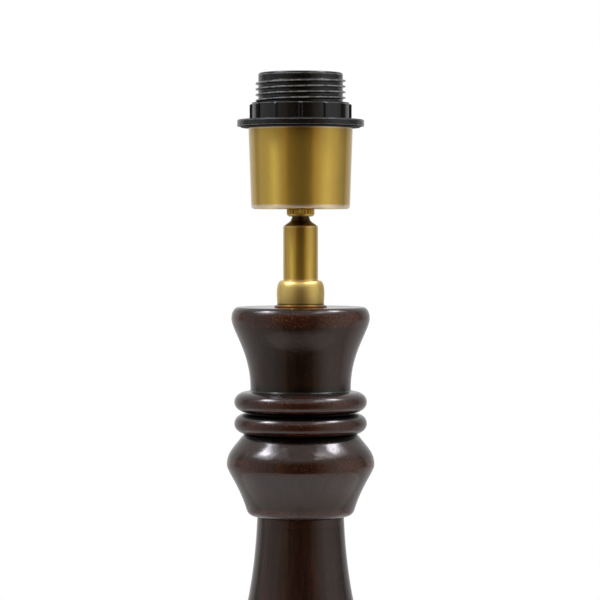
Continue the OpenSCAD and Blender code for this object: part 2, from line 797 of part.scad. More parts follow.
module contact_rivets() {
    color(BRASS) at_terminals() union() {
        rod_between(RIVET_R, strip_z - RIVET_GRIP, socket_floor_z - RIVET_HEAD_T + EPS);
        rod_between(RIVET_HEAD_R, socket_floor_z - RIVET_HEAD_T, socket_floor_z);
    }
}

// Terminals hang under the strips, one for each pole, with the wire hole along Y
module terminals() {
    wire_z = 3;
    screw_l = 2;
    color(BRASS) at_terminals() difference() {
        translate([-TERMINAL[0] / 2, -TERMINAL[1] / 2, terminal_z]) cube(TERMINAL);
        translate([0, -TERMINAL[1], terminal_z + wire_z]) rotate([-90, 0, 0])
            cylinder(r = TERMINAL_WIRE_R, h = 2 * TERMINAL[1]);
        rod_between(TERMINAL_SCREW_R + 0.05, terminal_z - 1, terminal_z + screw_l);
        rod_between(RIVET_R + 0.05, strip_z - RIVET_GRIP - MOULD_GAP, strip_z + 1);
    }
}

module terminal_screws() {
    head_r = 2.2;
    head_h = 1.4;
    shank_l = 1.9;
    slot_w = 0.6;
    slot_depth = 0.7;
    color(STEEL) at_terminals() difference() {
        union() {
            rod_between(TERMINAL_SCREW_R, terminal_z - EPS, terminal_z + shank_l);
            rod_between(head_r, terminal_z - head_h, terminal_z);
        }
        translate([-head_r - 1, -slot_w / 2, terminal_z - head_h - 1])
            cube([2 * head_r + 2, slot_w, slot_depth + 1]);
    }
}

module centre_contact() {
    stop_top_z = strip_z - PLUNGER_STOP_GAP;
    head_top_z = plunger_head_z + PLUNGER_HEAD_T;
    dome = ellipse([0, head_top_z], [PLUNGER_HEAD_R, PLUNGER_DOME_H], 90, 0, 8);
    color(BRASS) turned(concat(
        [for (i = [1:len(dome) - 1]) dome[i]],
        [
            [PLUNGER_HEAD_R, plunger_head_z], [PLUNGER_SHANK_R, plunger_head_z],
            [PLUNGER_SHANK_R, stop_top_z], [PLUNGER_STOP_R, stop_top_z],
            [PLUNGER_STOP_R, stop_top_z - PLUNGER_STOP_T]
        ]
    ));
}

// Points round the spring wire where it has made i steps of its helix
function wire_ring(i, low, rise) = let (
    angle = 360 * i / SPRING_STEPS,
    slope = rise / SPRING_TURNS / (2 * PI * spring_r),
    middle = [spring_r * cos(angle), spring_r * sin(angle), low + rise * i / (SPRING_TURNS * SPRING_STEPS)],
    out = [cos(angle), sin(angle), 0],
    up = [slope * sin(angle), -slope * cos(angle), 1] / sqrt(1 + slope * slope)
) [
    for (k = [0:SPRING_SIDES - 1]) let (a = 360 * k / SPRING_SIDES)
        middle + SPRING_WIRE_R * (cos(a) * out + sin(a) * up)
];

// Spring: one helix of wire between the centre strip and the head of the plunger
module contact_spring() {
    n = SPRING_TURNS * SPRING_STEPS;
    low = block_floor_z + SPRING_WIRE_R;
    rise = plunger_head_z - SPRING_WIRE_R - low;
    points = [for (i = [0:n]) each wire_ring(i, low, rise)];
    sides = [
        for (i = [0:n - 1], k = [0:SPRING_SIDES - 1]) let (
            a = i * SPRING_SIDES + k, b = i * SPRING_SIDES + (k + 1) % SPRING_SIDES
        ) each [[a, b, b + SPRING_SIDES], [a, b + SPRING_SIDES, a + SPRING_SIDES]]
    ];
    start = [for (k = [SPRING_SIDES - 1:-1:0]) k];
    end = [for (k = [0:SPRING_SIDES - 1]) n * SPRING_SIDES + k];
    color(STEEL) polyhedron(points, concat(sides, [start, end]));
}

// Screw shell: pressed sheet with the round thread of a standard lamp cap
function socket_wave(z, turns) = let (
    crest = socket_bore_d / 2, root = crest + socket_thread_depth,
    wave_r = [crest, crest, root, root],
    wave_z = [0, SOCKET_LAND, SOCKET_LAND + SOCKET_SLOPE, 1 - SOCKET_SLOPE]
) [
    for (i = [0:turns - 1], k = [0:3]) [wave_r[k], z + (i + wave_z[k]) * socket_pitch]
];
module screw_shell() {
    rim_gap = 0.6;
    rim_land = 0.6;
    turns = 5;
    top = skirt_lip_z - MOULD_GAP - rim_gap;
    thread_z = top - turns * socket_pitch - rim_land;
    plain_r = socket_bore_d / 2 + socket_thread_depth;
    inner = concat(
        [[plain_r, socket_floor_z], [plain_r, thread_z - rim_land]],
        socket_wave(thread_z, turns), [[plain_r, top]]
    );
    outer = [for (i = [len(inner) - 1:-1:0]) [inner[i][0] + shell_t, inner[i][1]]];
    color(BRASS) rotate_extrude() polygon(concat(inner, outer));
}

// Skirt: spigot in the housing, shoulder in the mouth of the cup, threaded upper part
module threaded_skirt() {
    spigot_r = housing_bore_r - MOULD_GAP;
    ridge_r = [root_r, crest_r, crest_r, root_r];
    ridge_z = [RIDGE_FOOT_W, RIDGE_CREST_W, -RIDGE_CREST_W, -RIDGE_FOOT_W] / 2;
    ridges = [
        for (i = [skirt_turns - 1:-1:0], k = [0:3])
            [ridge_r[k], skirt_thread_z + i * skirt_pitch + ridge_z[k]]
    ];
    top_round = ellipse(
        [root_r - SKIRT_TOP_ROUND, skirt_top_z - SKIRT_TOP_ROUND],
        [SKIRT_TOP_ROUND, SKIRT_TOP_ROUND], 90, 0, CURVE_STEPS / 2
    );
    outline = concat(
        top_round, ridges,
        [
            [root_r, ring_seat_z], [shoulder_r, ring_seat_z], [shoulder_r, ring_seat_z - SHOULDER_L],
            [housing_r, ring_seat_z - SHOULDER_L], [housing_r, housing_top_z],
            [spigot_r, housing_top_z], [spigot_r, housing_top_z - SKIRT_SPIGOT_L]
        ]
    );
    color(BLACK) difference() {
        turned(outline);
        rod_between(skirt_bore_r, housing_top_z - SKIRT_SPIGOT_L - 1, skirt_lip_z);
        rod_between(skirt_mouth_d / 2, skirt_lip_z - 1, skirt_top_z + 1);
    }
}

// Shade ring: flange with a step under it, collar and grip ribs
module shade_ring() {
    step_r = flange_d / 2 - flange_step_w;
    flange_z = ring_seat_z + flange_step_h;
    collar_z = flange_z + flange_t;
    top_z = collar_z + collar_h;
    edge = 0.3;
    rib_drop = 0.6;
    color(BLACK) difference() {
        union() {
            turned([
                [collar_r - edge, top_z], [collar_r, top_z - edge], [collar_r, collar_z],
                [flange_d / 2 - edge, collar_z], [flange_d / 2, collar_z - edge],
                [flange_d / 2, flange_z], [step_r, flange_z], [step_r, ring_seat_z]
            ]);
            for (i = [0:rib_count - 1]) rotate([0, 0, 360 / rib_count * i])
                translate([ring_bore_r + 0.5, -rib_w / 2, collar_z - 0.5])
                    cube([collar_r + rib_depth - ring_bore_r - 0.5, rib_w, collar_h - rib_drop + 0.5]);
        }
        rod_between(ring_bore_r, ring_seat_z - 1, top_z + 1);
    }
}

felt_pad();
plinth();
foot();
foot_weight();
weight_screws();
cord_bush();
lower_rings();
column();
capital();
threaded_rod();
lower_nut();
lower_star_washer();
lower_washer();
upper_washer();
upper_star_washer();
upper_nut();
bell_cap();
stem();
knurled_nut();
holder_cup();
lower_housing();
entry_bush();
grub_screw();
socket_block();
side_contact();
centre_strip();
contact_rivets();
terminals();
terminal_screws();
centre_contact();
contact_spring();
screw_shell();
threaded_skirt();
shade_ring();
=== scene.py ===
# %% [markdown]
# # A turned timber lamp base, piece by piece
# The real object is a stack of turned timber clamped on a threaded tube. A brass bell cap, stem and cup
# stand on it, and a black screw lampholder with its shade ring closes the top. A measured model already
# holds every piece at its real size, so this lesson never moves or resizes anything. It gives each piece
# that shows a finer surface, and every piece the finish of its material.

# %% Load the measured model
import json
import bmesh
import bpy
import numpy as np
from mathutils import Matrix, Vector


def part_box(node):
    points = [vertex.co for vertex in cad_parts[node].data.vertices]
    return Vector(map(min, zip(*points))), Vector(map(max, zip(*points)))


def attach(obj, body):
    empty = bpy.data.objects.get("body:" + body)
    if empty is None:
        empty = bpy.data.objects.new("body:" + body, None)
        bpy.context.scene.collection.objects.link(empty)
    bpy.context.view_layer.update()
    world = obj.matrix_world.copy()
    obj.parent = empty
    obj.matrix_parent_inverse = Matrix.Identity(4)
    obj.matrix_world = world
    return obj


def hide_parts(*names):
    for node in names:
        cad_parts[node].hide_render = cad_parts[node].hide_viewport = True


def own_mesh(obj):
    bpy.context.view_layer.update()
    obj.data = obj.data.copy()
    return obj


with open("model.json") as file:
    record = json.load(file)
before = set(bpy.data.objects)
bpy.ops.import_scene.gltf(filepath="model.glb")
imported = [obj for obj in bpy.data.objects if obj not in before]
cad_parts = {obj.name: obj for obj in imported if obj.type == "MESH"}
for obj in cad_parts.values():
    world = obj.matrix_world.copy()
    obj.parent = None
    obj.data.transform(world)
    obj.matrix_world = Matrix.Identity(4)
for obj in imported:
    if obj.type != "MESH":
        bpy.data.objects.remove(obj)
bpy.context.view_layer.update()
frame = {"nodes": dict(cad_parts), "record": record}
MM = 0.001
print("pieces in the measured model:", len(frame["nodes"]))

# %% [markdown]
# ## The camera
# The lamp was photographed from far away with a long lens, from the height of the brass neck. The top of
# the capital is therefore a very flat ellipse seen from above, and the shade ring is seen a little from
# below. The lens follows from the scale: 2.25 pixels for each millimetre at 1.15 m from the camera.

# %% Set up the camera
PICTURE_PX = 600
PX_PER_MM = 2.25
CAMERA_DISTANCE = 1.15
CAMERA_X = -0.00027
CAMERA_Z = 0.361
AIM_Z = 0.3297
SENSOR_MM = 36.0

camera_data = bpy.data.cameras.new("camera")
camera_data.sensor_width = SENSOR_MM
camera_data.lens = SENSOR_MM * PX_PER_MM * CAMERA_DISTANCE / MM / PICTURE_PX
camera = bpy.data.objects.new("camera", camera_data)
camera.location = (CAMERA_X, -CAMERA_DISTANCE, CAMERA_Z)
camera.rotation_euler = (np.pi / 2 - np.arctan2(CAMERA_Z - AIM_Z, CAMERA_DISTANCE), 0, 0)
bpy.context.scene.collection.objects.link(camera)
bpy.context.scene.camera = camera
bpy.context.scene.view_settings.view_transform = "Standard"
print("lens in mm:", round(camera_data.lens, 1))

# %% [markdown]
# ## Small tools for shader nodes
# Every material below is a small network of nodes. Adding and linking them one by one takes many lines,
# so a few helpers do it: each makes one node, fills its inputs with numbers or links, and returns the
# output that the next node reads. The first few do arithmetic.

# %% Define the helpers for numbers


def give(tree, socket, value):
    """Links a socket to an output, or sets it to a number or colour."""
    if isinstance(value, bpy.types.NodeSocket):
        tree.links.new(value, socket)
    else:
        socket.default_value = value


def calc(tree, operation, *values):
    """One arithmetic step on numbers or outputs."""
    made = tree.nodes.new("ShaderNodeMath")
    made.operation = operation
    for socket, value in zip(made.inputs, values):
        give(tree, socket, value)
    return made.outputs[0]


def times(tree, product, *factors):
    """The product of numbers or outputs."""
    for factor in factors:
        product = calc(tree, "MULTIPLY", product, factor)
    return product


def add_up(tree, total, *terms):
    """The total plus, for each term, its value times its weight."""
    for value, weight in terms:
        total = calc(tree, "MULTIPLY_ADD", value, weight, total)
    return total


def parts_of(tree, vector):
    """The x, y and z of a vector."""
    made = tree.nodes.new("ShaderNodeSeparateXYZ")
    give(tree, made.inputs[0], vector)
    return made.outputs


print("arithmetic helpers are ready")

# %% [markdown]
# ## Curves, colours and patterns
# A finish is mostly a few soft steps from one value to another, some mixed colours, and cloudy patterns
# that are read in a stretched or turned space. A measure of how far an edge is rubbed comes from the mesh.

# %% Define the helpers for patterns


def rise(tree, value, low, high, start=0.0, stop=1.0):
    """Goes smoothly from start to stop while value goes from low to high."""
    made = tree.nodes.new("ShaderNodeMapRange")
    made.interpolation_type = "SMOOTHSTEP"
    for name, number in (("From Min", low), ("From Max", high), ("To Min", start), ("To Max", stop)):
        made.inputs[name].default_value = number
    give(tree, made.inputs["Value"], value)
    return made.outputs["Result"]


def grey(level):
    """A colour without a hue."""
    return level, level, level, 1


def blend(tree, amount, first, second, how="MIX"):
    """Mixes two colours: all of the first at amount 0, and at 1 all of the second or, to multiply, of
    their product."""
    made = tree.nodes.new("ShaderNodeMix")
    made.data_type = "RGBA"
    made.blend_type = how
    give(tree, made.inputs[0], amount)
    give(tree, made.inputs[6], first)
    give(tree, made.inputs[7], second)
    return made.outputs[2]


def stretch(tree, vector, longer=(1, 1, 1), shift=(0, 0, 0), turn=(0, 0, 0)):
    """Moves and turns the space that a pattern is read in, and draws it that many times longer."""
    made = tree.nodes.new("ShaderNodeMapping")
    made.vector_type = "TEXTURE"
    made.inputs["Location"].default_value = shift
    made.inputs["Rotation"].default_value = np.radians(turn)
    made.inputs["Scale"].default_value = longer
    give(tree, made.inputs["Vector"], vector)
    return made.outputs["Vector"]


def noise(tree, vector, per_metre, detail=2.0, rough=0.5):
    """A cloudy pattern with about that many blobs in a metre, from 0 to 1 and mostly near 0.5."""
    made = tree.nodes.new("ShaderNodeTexNoise")
    made.inputs["Scale"].default_value = per_metre
    made.inputs["Detail"].default_value = detail
    made.inputs["Roughness"].default_value = rough
    give(tree, made.inputs["Vector"], vector)
    return made.outputs["Fac"]


def object_place(tree):
    """The place on the piece, in metres in the lamp's own frame."""
    return tree.nodes.new("ShaderNodeTexCoord").outputs["Object"]


def edges_and_hollows(tree):
    """Two shares that the piece's own mesh carries: 1 on outside edges, and 1 in hollows and in shaded
    bands, where timber and brass paint shade.
    """
    made = tree.nodes.new("ShaderNodeAttribute")
    made.attribute_name = "bend"
    bend = made.outputs["Fac"]
    return calc(tree, "MAXIMUM", bend, 0.0), calc(tree, "MAXIMUM", times(tree, bend, -1.0), 0.0)


print("pattern helpers are ready")

# %% [markdown]
# ## The studio
# A glossy or metal surface shows the room more than itself, so the room matters as much as the materials.
# The room is dark and a little warm behind the camera, has a tall pale panel on each side, a bright paper
# sweep behind the lamp, with even light low down, and a pale ceiling. Softboxes hang high on both sides,
# small bright ones in large dim ones, and a narrow warm strip stands near the camera. All of this is a
# function of direction, in the world's own nodes: one angle round the lamp and one above the horizon, both
# in degrees. The camera itself sees plain white.

# %% Define the room as a function of direction
PANEL_STOPS = (
    # degrees round from the camera, brightness
    (-180, 0.78), (-128, 0.62), (-122, 0.3), (-114, 0.35), (-102, 0.6), (-66, 0.56), (-54, 0.45),
    (-38, 0.36), (-29, 0.14), (0, 0.05), (22, 0.09), (36, 0.38), (52, 0.66), (68, 0.86), (88, 0.72),
    (104, 0.45), (112, 0.3), (122, 0.2), (128, 0.5), (180, 0.75),
)
WARM_FRONT = (1.3, 0.95, 0.64, 1)
WARM_HALF = 40
WARM_EDGE = 12
BOXES = (
    # middle round, half width, middle height, half height, edge, colour
    (-70, 34, 46, 20, 14, (0.8, 0.82, 0.86, 1)),
    (75, 38, 48, 20, 14, (0.8, 0.81, 0.84, 1)),
    (0, 60, 43, 3, 3, (1.1, 1.1, 1.1, 1)),
    (-78, 19, 49, 11, 7, (6.5, 7.2, 8.3, 1)),
    (82, 28, 54, 10, 7, (4.2, 4.5, 5.0, 1)),
    (50, 12, 58, 5, 5, (6.0, 6.4, 7.0, 1)),
    (-85, 10, 51, 5, 4, (24, 27, 31, 1)),
    (93, 13, 56, 5, 4, (20, 22, 25, 1)),
    (38, 11, 48, 3.5, 3, (3.5, 3.7, 4.0, 1)),
    (-47, 6, 49, 3.5, 3, (1.8, 1.9, 2.0, 1)),
    (-33, 1.6, 10, 30, 1.0, (0.5, 0.33, 0.13, 1)),
)
CEILING = 0.85
CEILING_FROM = 18
CEILING_FULL = 48
LOW_BACK = 0.62
LOW_BACK_FROM = 102
LOW_BACK_EDGE = 8
LOW_BACK_FULL = -10
LOW_BACK_TOP = -3


def window(tree, value, middle, half, edge):
    """1 inside middle plus or minus half, 0 outside, with a soft edge."""
    up = rise(tree, value, middle - half - edge, middle - half + edge)
    down = rise(tree, value, middle + half - edge, middle + half + edge, 1.0, 0.0)
    return times(tree, up, down)


def ramp(tree, value, stops):
    """A curve through the given stops, each a place from 0 to 1 and a brightness."""
    made = tree.nodes.new("ShaderNodeValToRGB")
    made.color_ramp.interpolation = "EASE"
    marks = made.color_ramp.elements
    while len(marks) < len(stops):
        marks.new(0.5)
    for mark, (place, level) in zip(marks, stops):
        mark.position = place
        mark.color = grey(level)
    give(tree, made.inputs["Fac"], value)
    return made.outputs["Color"]


brightest = max(PANEL_STOPS, key=lambda stop: stop[1])
print("the brightest panel stands", brightest[0], "degrees to the right of the camera")

# %% [markdown]
# ## Hanging the lights
# The parts of the room are laid over each other from the widest to the smallest. A small box that is laid
# on last covers what is under it, so it stays as bright as it was written.

# %% Build the room


def make_room():
    """Builds the world: panels by azimuth, a ceiling above, even light low behind, softboxes on top, and
    white for the camera."""
    world = bpy.data.worlds.new("studio")
    world.use_nodes = True
    bpy.context.scene.world = world
    tree = world.node_tree
    tree.nodes.clear()
    x, y, z = parts_of(tree, tree.nodes.new("ShaderNodeTexCoord").outputs["Generated"])
    turn = calc(tree, "DEGREES", calc(tree, "ARCTAN2", x, times(tree, y, -1.0)))
    height = calc(tree, "DEGREES", calc(tree, "ARCSINE", z))
    place = calc(tree, "ADD", calc(tree, "DIVIDE", turn, 360.0), 0.5)
    light = ramp(tree, place, [(angle / 360 + 0.5, level) for angle, level in PANEL_STOPS])
    light = blend(tree, window(tree, turn, 0, WARM_HALF, WARM_EDGE), light, WARM_FRONT, "MULTIPLY")
    light = blend(tree, rise(tree, height, CEILING_FROM, CEILING_FULL), light, grey(CEILING))
    behind = calc(tree, "SUBTRACT", 1.0, window(tree, turn, 0, LOW_BACK_FROM, LOW_BACK_EDGE))
    low = rise(tree, height, LOW_BACK_FULL, LOW_BACK_TOP, 1.0, 0.0)
    light = blend(tree, times(tree, behind, low), light, grey(LOW_BACK))
    for middle, half, level, half_height, edge, colour in BOXES:
        across = window(tree, turn, middle, half, edge)
        upright = window(tree, height, level, half_height, edge)
        light = blend(tree, times(tree, across, upright), light, colour)
    seen = tree.nodes.new("ShaderNodeLightPath").outputs["Is Camera Ray"]
    back = tree.nodes.new("ShaderNodeBackground")
    give(tree, back.inputs["Color"], blend(tree, seen, light, grey(1)))
    out = tree.nodes.new("ShaderNodeOutputWorld")
    tree.links.new(back.outputs[0], out.inputs["Surface"])


make_room()
print("lit boxes in the room:", len(BOXES))

# %% [markdown]
# ## The floor
# The lamp stands on a pale round table. Close to the lamp it is an ordinary matt surface that takes the
# shadow. Farther out it turns into plain white, for the camera and for what the lamp reflects, so its edge
# melts into the background. The table reaches farther behind the lamp than in front of it.

# %% Lay the floor
FLOOR_RADIUS = 0.41
FLOOR_MIDDLE = (0, 0.07, 0)
FLOOR_RINGS = 24
FLOOR_COLUMNS = 96
FLOOR_PLAIN_FROM = 0.20
FLOOR_PLAIN_TO = 0.36
FLOOR_DIM_FROM = -0.24
FLOOR_DIM_FULL = -0.34
FLOOR_EDGE_LIGHT = 0.2
FLOOR_ALBEDO = 0.80
FLOOR_SPECK = 0.015


def floor_material():
    """Matt paint near the lamp, plain white far from it. What the lamp reflects of the white dims towards
    the front edge, as the light on the table does."""
    material = bpy.data.materials.new("floor_paint")
    material.use_nodes = True
    tree = material.node_tree
    tree.nodes.clear()
    place = object_place(tree)
    away = tree.nodes.new("ShaderNodeVectorMath")
    away.operation = "LENGTH"
    give(tree, away.inputs[0], stretch(tree, place, shift=FLOOR_MIDDLE))
    far = rise(tree, away.outputs["Value"], FLOOR_PLAIN_FROM, FLOOR_PLAIN_TO)
    paint = tree.nodes.new("ShaderNodeBsdfDiffuse")
    speck = noise(tree, place, 180.0, 4.0)
    shades = grey(FLOOR_ALBEDO - FLOOR_SPECK), grey(FLOOR_ALBEDO + FLOOR_SPECK)
    give(tree, paint.inputs["Color"], blend(tree, speck, *shades))
    glow = tree.nodes.new("ShaderNodeEmission")
    ray = tree.nodes.new("ShaderNodeLightPath").outputs
    front_to_back = parts_of(tree, place)["Y"]
    dimmed = rise(tree, front_to_back, FLOOR_DIM_FULL, FLOOR_DIM_FROM, FLOOR_EDGE_LIGHT, 1.0)
    give(tree, glow.inputs["Strength"], calc(tree, "MAXIMUM", ray["Is Camera Ray"], dimmed))
    seen = calc(tree, "MAXIMUM", ray["Is Camera Ray"], ray["Is Glossy Ray"])
    seen = calc(tree, "MAXIMUM", seen, ray["Is Transmission Ray"])
    mixed = tree.nodes.new("ShaderNodeMixShader")
    give(tree, mixed.inputs[0], times(tree, far, seen))
    tree.links.new(paint.outputs[0], mixed.inputs[1])
    tree.links.new(glow.outputs[0], mixed.inputs[2])
    out = tree.nodes.new("ShaderNodeOutputMaterial")
    tree.links.new(mixed.outputs[0], out.inputs["Surface"])
    return material


def make_floor():
    """A disc: x and y are its middle plus a radius times the cosine and sine of an angle."""
    radius = np.linspace(0, FLOOR_RADIUS, FLOOR_RINGS + 1)[1:, None]
    angle = np.linspace(0, 2 * np.pi, FLOOR_COLUMNS, endpoint=False)
    ring = np.stack([radius * np.cos(angle), radius * np.sin(angle), 0 * radius * angle], axis=-1)
    points = np.vstack([[[0, 0, 0]], ring.reshape(-1, 3)]) + FLOOR_MIDDLE
    i = np.arange(FLOOR_RINGS - 1)[:, None]
    j = np.arange(FLOOR_COLUMNS)
    after = (j + 1) % FLOOR_COLUMNS
    inner, outer = 1 + i * FLOOR_COLUMNS, 1 + (i + 1) * FLOOR_COLUMNS
    quads = np.stack([inner + j, outer + j, outer + after, inner + after], axis=-1).reshape(-1, 4)
    fan = np.stack([0 * j, 1 + j, 1 + after], axis=-1)
    mesh = bpy.data.meshes.new("floor")
    mesh.from_pydata(points, [], [*fan.tolist(), *quads.tolist()])
    mesh.materials.append(floor_material())
    floor = bpy.data.objects.new("floor", mesh)
    bpy.context.scene.collection.objects.link(floor)
    return floor


floor = make_floor()
print("floor faces:", len(floor.data.polygons))

# %% [markdown]
# ## Outlines
# Nearly every piece was turned or spun, so its shape is one outline carried round the axis. An outline is
# a list of points, radius and height in millimetres, that runs clockwise: down the outside and up the
# inside. Straight runs need only their ends. Round edges are parts of ellipses, and the long swelling
# lines are cubic curves, as a turner would draw them on a template.

# %% Define how outlines are drawn


def arc(centre, half, start, stop, steps=24):
    """Part of an ellipse: centre plus half width times cosine, and plus half height times sine."""
    angle = np.radians(np.linspace(start, stop, steps))
    return np.stack([centre[0] + half[0] * np.cos(angle), centre[1] + half[1] * np.sin(angle)], axis=1)


def curve(a, b, leave, arrive, steps=32):
    """A cubic curve from a to b. Its two handles are shares of the curve's width and height."""
    a, b = np.array(a, float), np.array(b, float)
    first, second = a + np.array(leave) * (b - a), b - np.array(arrive) * (b - a)
    t = np.linspace(0, 1, steps)[:, None]
    return (1 - t) ** 3 * a + 3 * (1 - t) ** 2 * t * first + 3 * (1 - t) * t**2 * second + t**3 * b


print("a quarter circle of radius 10 mm ends at", arc((0, 0), (10, 10), 0, 90)[-1].round(3))

# %% [markdown]
# ## Soft edges
# Real edges are never sharp: lacquer and polishing round them. So each outline is softened with a running
# mean before it becomes a surface, which puts a small highlight on every edge.

# %% Define how edges are softened
STEPS_A_RADIUS = 4


def even_steps(outline, step, closed):
    """The same line with points at even steps along its length."""
    points = np.vstack([outline, outline[:1]]) if closed else outline
    length = np.concatenate([[0], np.cumsum(np.hypot(*np.diff(points, axis=0).T))])
    even = np.linspace(0, length[-1], int(length[-1] / step) + 1)
    line = np.stack([np.interp(even, length, points[:, k]) for k in (0, 1)], axis=1)
    return line[:-1] if closed else line


def soften(outline, radius, closed=True):
    """Rounds all corners: each point becomes the bell-weighted mean of its neighbours within 3 radii.
    An open outline runs from axis to axis, and is mirrored there so that it crosses the axis level."""
    line = even_steps(outline, radius / STEPS_A_RADIUS, closed)
    far = 3 * STEPS_A_RADIUS
    weight = np.exp(-0.5 * (np.arange(-far, far + 1) / STEPS_A_RADIUS) ** 2)
    weight /= weight.sum()
    if closed:
        line = np.vstack([line[-far:], line, line[:far]])
    else:
        mirror = np.array([-1, 1])
        line = np.vstack([line[far:0:-1] * mirror, line, line[-2 : -far - 2 : -1] * mirror])
    return np.stack([np.convolve(line[:, k], weight, "valid") for k in (0, 1)], axis=1)


square = np.array([(0, 10), (10, 10), (10, 0), (0, 0)], float)
print("a 10 mm square softened by 1 mm reaches", soften(square, 1.0).max().round(2), "mm")

# %% [markdown]
# ## Rows, edges and hollows
# A surface needs many rows where its outline turns, and few where it runs straight. How sharply it turns
# also says how the finish wears: hands and cloths rub the edges. Timber and brass get painted shade in the
# hollows. So each row keeps its bend, and the materials read it.

# %% Define how rows are picked
EVERY_DEG = 9.0
BEND = (0.02, 0.16)
OUTWARDS = (0.5, 0.85)
# Edges that face up stay unrubbed: painted shade on the upper halves of the beads.
UPWARDS_PAINTED_SHADE = (0.1, 0.5)


def share(value, low, high):
    """0 up to low, 1 from high on, and even between. With low above high it falls from 1 to 0."""
    return np.clip((value - low) / (high - low), 0, 1)


def smooth(part):
    """Three squares minus two cubes of a share, which leaves 0 and reaches 1 levelly."""
    return part * part * (3 - 2 * part)


def rows_of(line, closed=True, every_mm=3.0, near=2.0):
    """Picks the rows of a surface from a fine line: more where it turns, fewer where it runs straight.
    Returns radius, height, length along the line, and the bend within that many millimetres: above 0
    on an edge that faces outwards, which is sanded and rubbed most, and below 0 in a hollow. An edge that
    faces up is left unrubbed, which keeps it dark as painted shade."""
    following = np.roll(line, -1, axis=0) if closed else np.vstack([line[1:], 2 * line[-1] - line[-2]])
    ahead = following - line
    length = np.hypot(*ahead.T)
    heading = np.unwrap(np.arctan2(ahead[:, 1], ahead[:, 0]))
    turn = np.diff(heading, prepend=heading[:1])
    measure = np.cumsum(length / every_mm + np.abs(np.degrees(turn)) / EVERY_DEG)
    count = int(np.ceil(measure[-1] - measure[0]))
    wanted = np.linspace(measure[0], measure[-1], count, endpoint=not closed)
    at = np.interp(wanted, measure, np.arange(len(line)))
    along = np.cumsum(length) - length
    span = np.ones(2 * int(near / length.mean()) + 1)
    bulge = np.convolve(np.pad(-turn, len(span) // 2, mode="wrap"), span, "valid")
    bulge /= len(span) * length.mean()
    # The last factor leaves edges that face up dark, as painted shade.
    edge = share(bulge, *BEND) * share(-np.sin(heading), *OUTWARDS) * (1 - share(np.cos(heading), *UPWARDS_PAINTED_SHADE))
    columns = (line[:, 0], line[:, 1], along, edge - share(-bulge, *BEND))
    return np.stack([np.interp(at, np.arange(len(line)), values) for values in columns], axis=1)


print("rows of the softened square:", len(rows_of(soften(square, 1.0))))

# %% [markdown]
# ## From outline to surface
# The surface is a grid of points, one row for each point of the outline and one column for each step
# round the axis. Neighbouring points are joined into four-sided faces, and the last column joins the
# first. Each face corner also gets a place on the piece's own map: how far round it is, and how far
# along the outline. Brushed metal needs that map, because its fine lines run round the piece.

# %% Define how surfaces are built
COLUMNS = 192


def angles(columns=COLUMNS):
    """Even steps round the axis, in radians."""
    return np.linspace(0, 2 * np.pi, columns, endpoint=False)


def revolve(rows, angle, radius=None):
    """Carries rows round the axis: x = r cos a, y = r sin a, z = height. A radius grid may replace r."""
    r = rows[:, 0:1] if radius is None else radius
    z = rows[:, 1:2] + 0 * angle
    return np.stack([r * np.cos(angle), r * np.sin(angle), z], axis=-1)


def skin(grid, along, bend=0.0, closed=True, shift=0):
    """Joins a grid of points into quads. Where the last column meets the first, a screw thread has
    climbed by shift rows. Returns points, quads, the map of each quad's corners, and each point's bend."""
    rows, columns = grid.shape[:2]
    i = np.arange(rows if closed else rows - 1)[:, None]
    j = np.arange(columns)[None, :]

    def corner(row, column):
        wrapped = column == columns
        row = row + shift * wrapped
        row = row % rows if closed else np.minimum(row, rows - 1)
        return row * columns + np.where(wrapped, 0, column)

    quads = np.stack([corner(i, j), corner(i + 1, j), corner(i + 1, j + 1), corner(i, j + 1)], axis=-1)
    ends = np.append(along, 2 * along[-1] - along[-2])
    u = np.stack([j, j, j + 1, j + 1], axis=-1) / columns + 0.0 * i[..., None]
    v = np.stack([ends[i], ends[i + 1], ends[i + 1], ends[i]], axis=-1) * MM + 0.0 * u
    bends = np.broadcast_to(bend, (rows, columns)).ravel()
    return grid.reshape(-1, 3), quads.reshape(-1, 4), np.stack([u, v], axis=-1).reshape(-1, 2), bends


print("columns round each turned piece:", COLUMNS)

# %% [markdown]
# ## From surface to piece
# A piece is one closed mesh. It may be sewn from several surfaces, whose doubled points are merged where
# they meet, and at the poles. Its faces are then turned outwards, and it stays where it was worked out,
# so its object sits at the origin.

# %% Define how a piece is made
MERGE_M = 1e-6


def make_piece(name, *skins):
    """Puts one or more skins into a mesh, merges their doubles, and turns the faces outwards."""
    points, quads, corners, bends = zip(*skins)
    starts = np.cumsum([0] + [len(skin_points) for skin_points in points])
    points = np.concatenate(points) * MM
    quads = np.concatenate([skin_quads + start for skin_quads, start in zip(quads, starts)])
    mesh = bpy.data.meshes.new(name)
    mesh.vertices.add(len(points))
    mesh.vertices.foreach_set("co", points.ravel())
    mesh.loops.add(quads.size)
    mesh.loops.foreach_set("vertex_index", quads.ravel().astype(np.int32))
    mesh.polygons.add(len(quads))
    mesh.polygons.foreach_set("loop_start", np.arange(len(quads), dtype=np.int32) * 4)
    mesh.update(calc_edges=True)
    mesh.uv_layers.new(name="UVMap").data.foreach_set("uv", np.concatenate(corners).ravel())
    mesh.attributes.new("bend", "FLOAT", "POINT").data.foreach_set("value", np.concatenate(bends))
    work = bmesh.new()
    work.from_mesh(mesh)
    bmesh.ops.remove_doubles(work, verts=work.verts, dist=MERGE_M)
    bmesh.ops.recalc_face_normals(work, faces=work.faces)
    volume = work.calc_volume(signed=True) / MM**3 / 1000
    loose = sum(not edge.is_manifold for edge in work.edges)
    work.to_mesh(mesh)
    work.free()
    mesh.polygons.foreach_set("use_smooth", np.ones(len(mesh.polygons), bool))
    piece = bpy.data.objects.new(name, mesh)
    bpy.context.scene.collection.objects.link(piece)
    print(f"{name}: {len(mesh.polygons)} faces, {volume:.2f} cm3, {loose} open edges")
    return piece


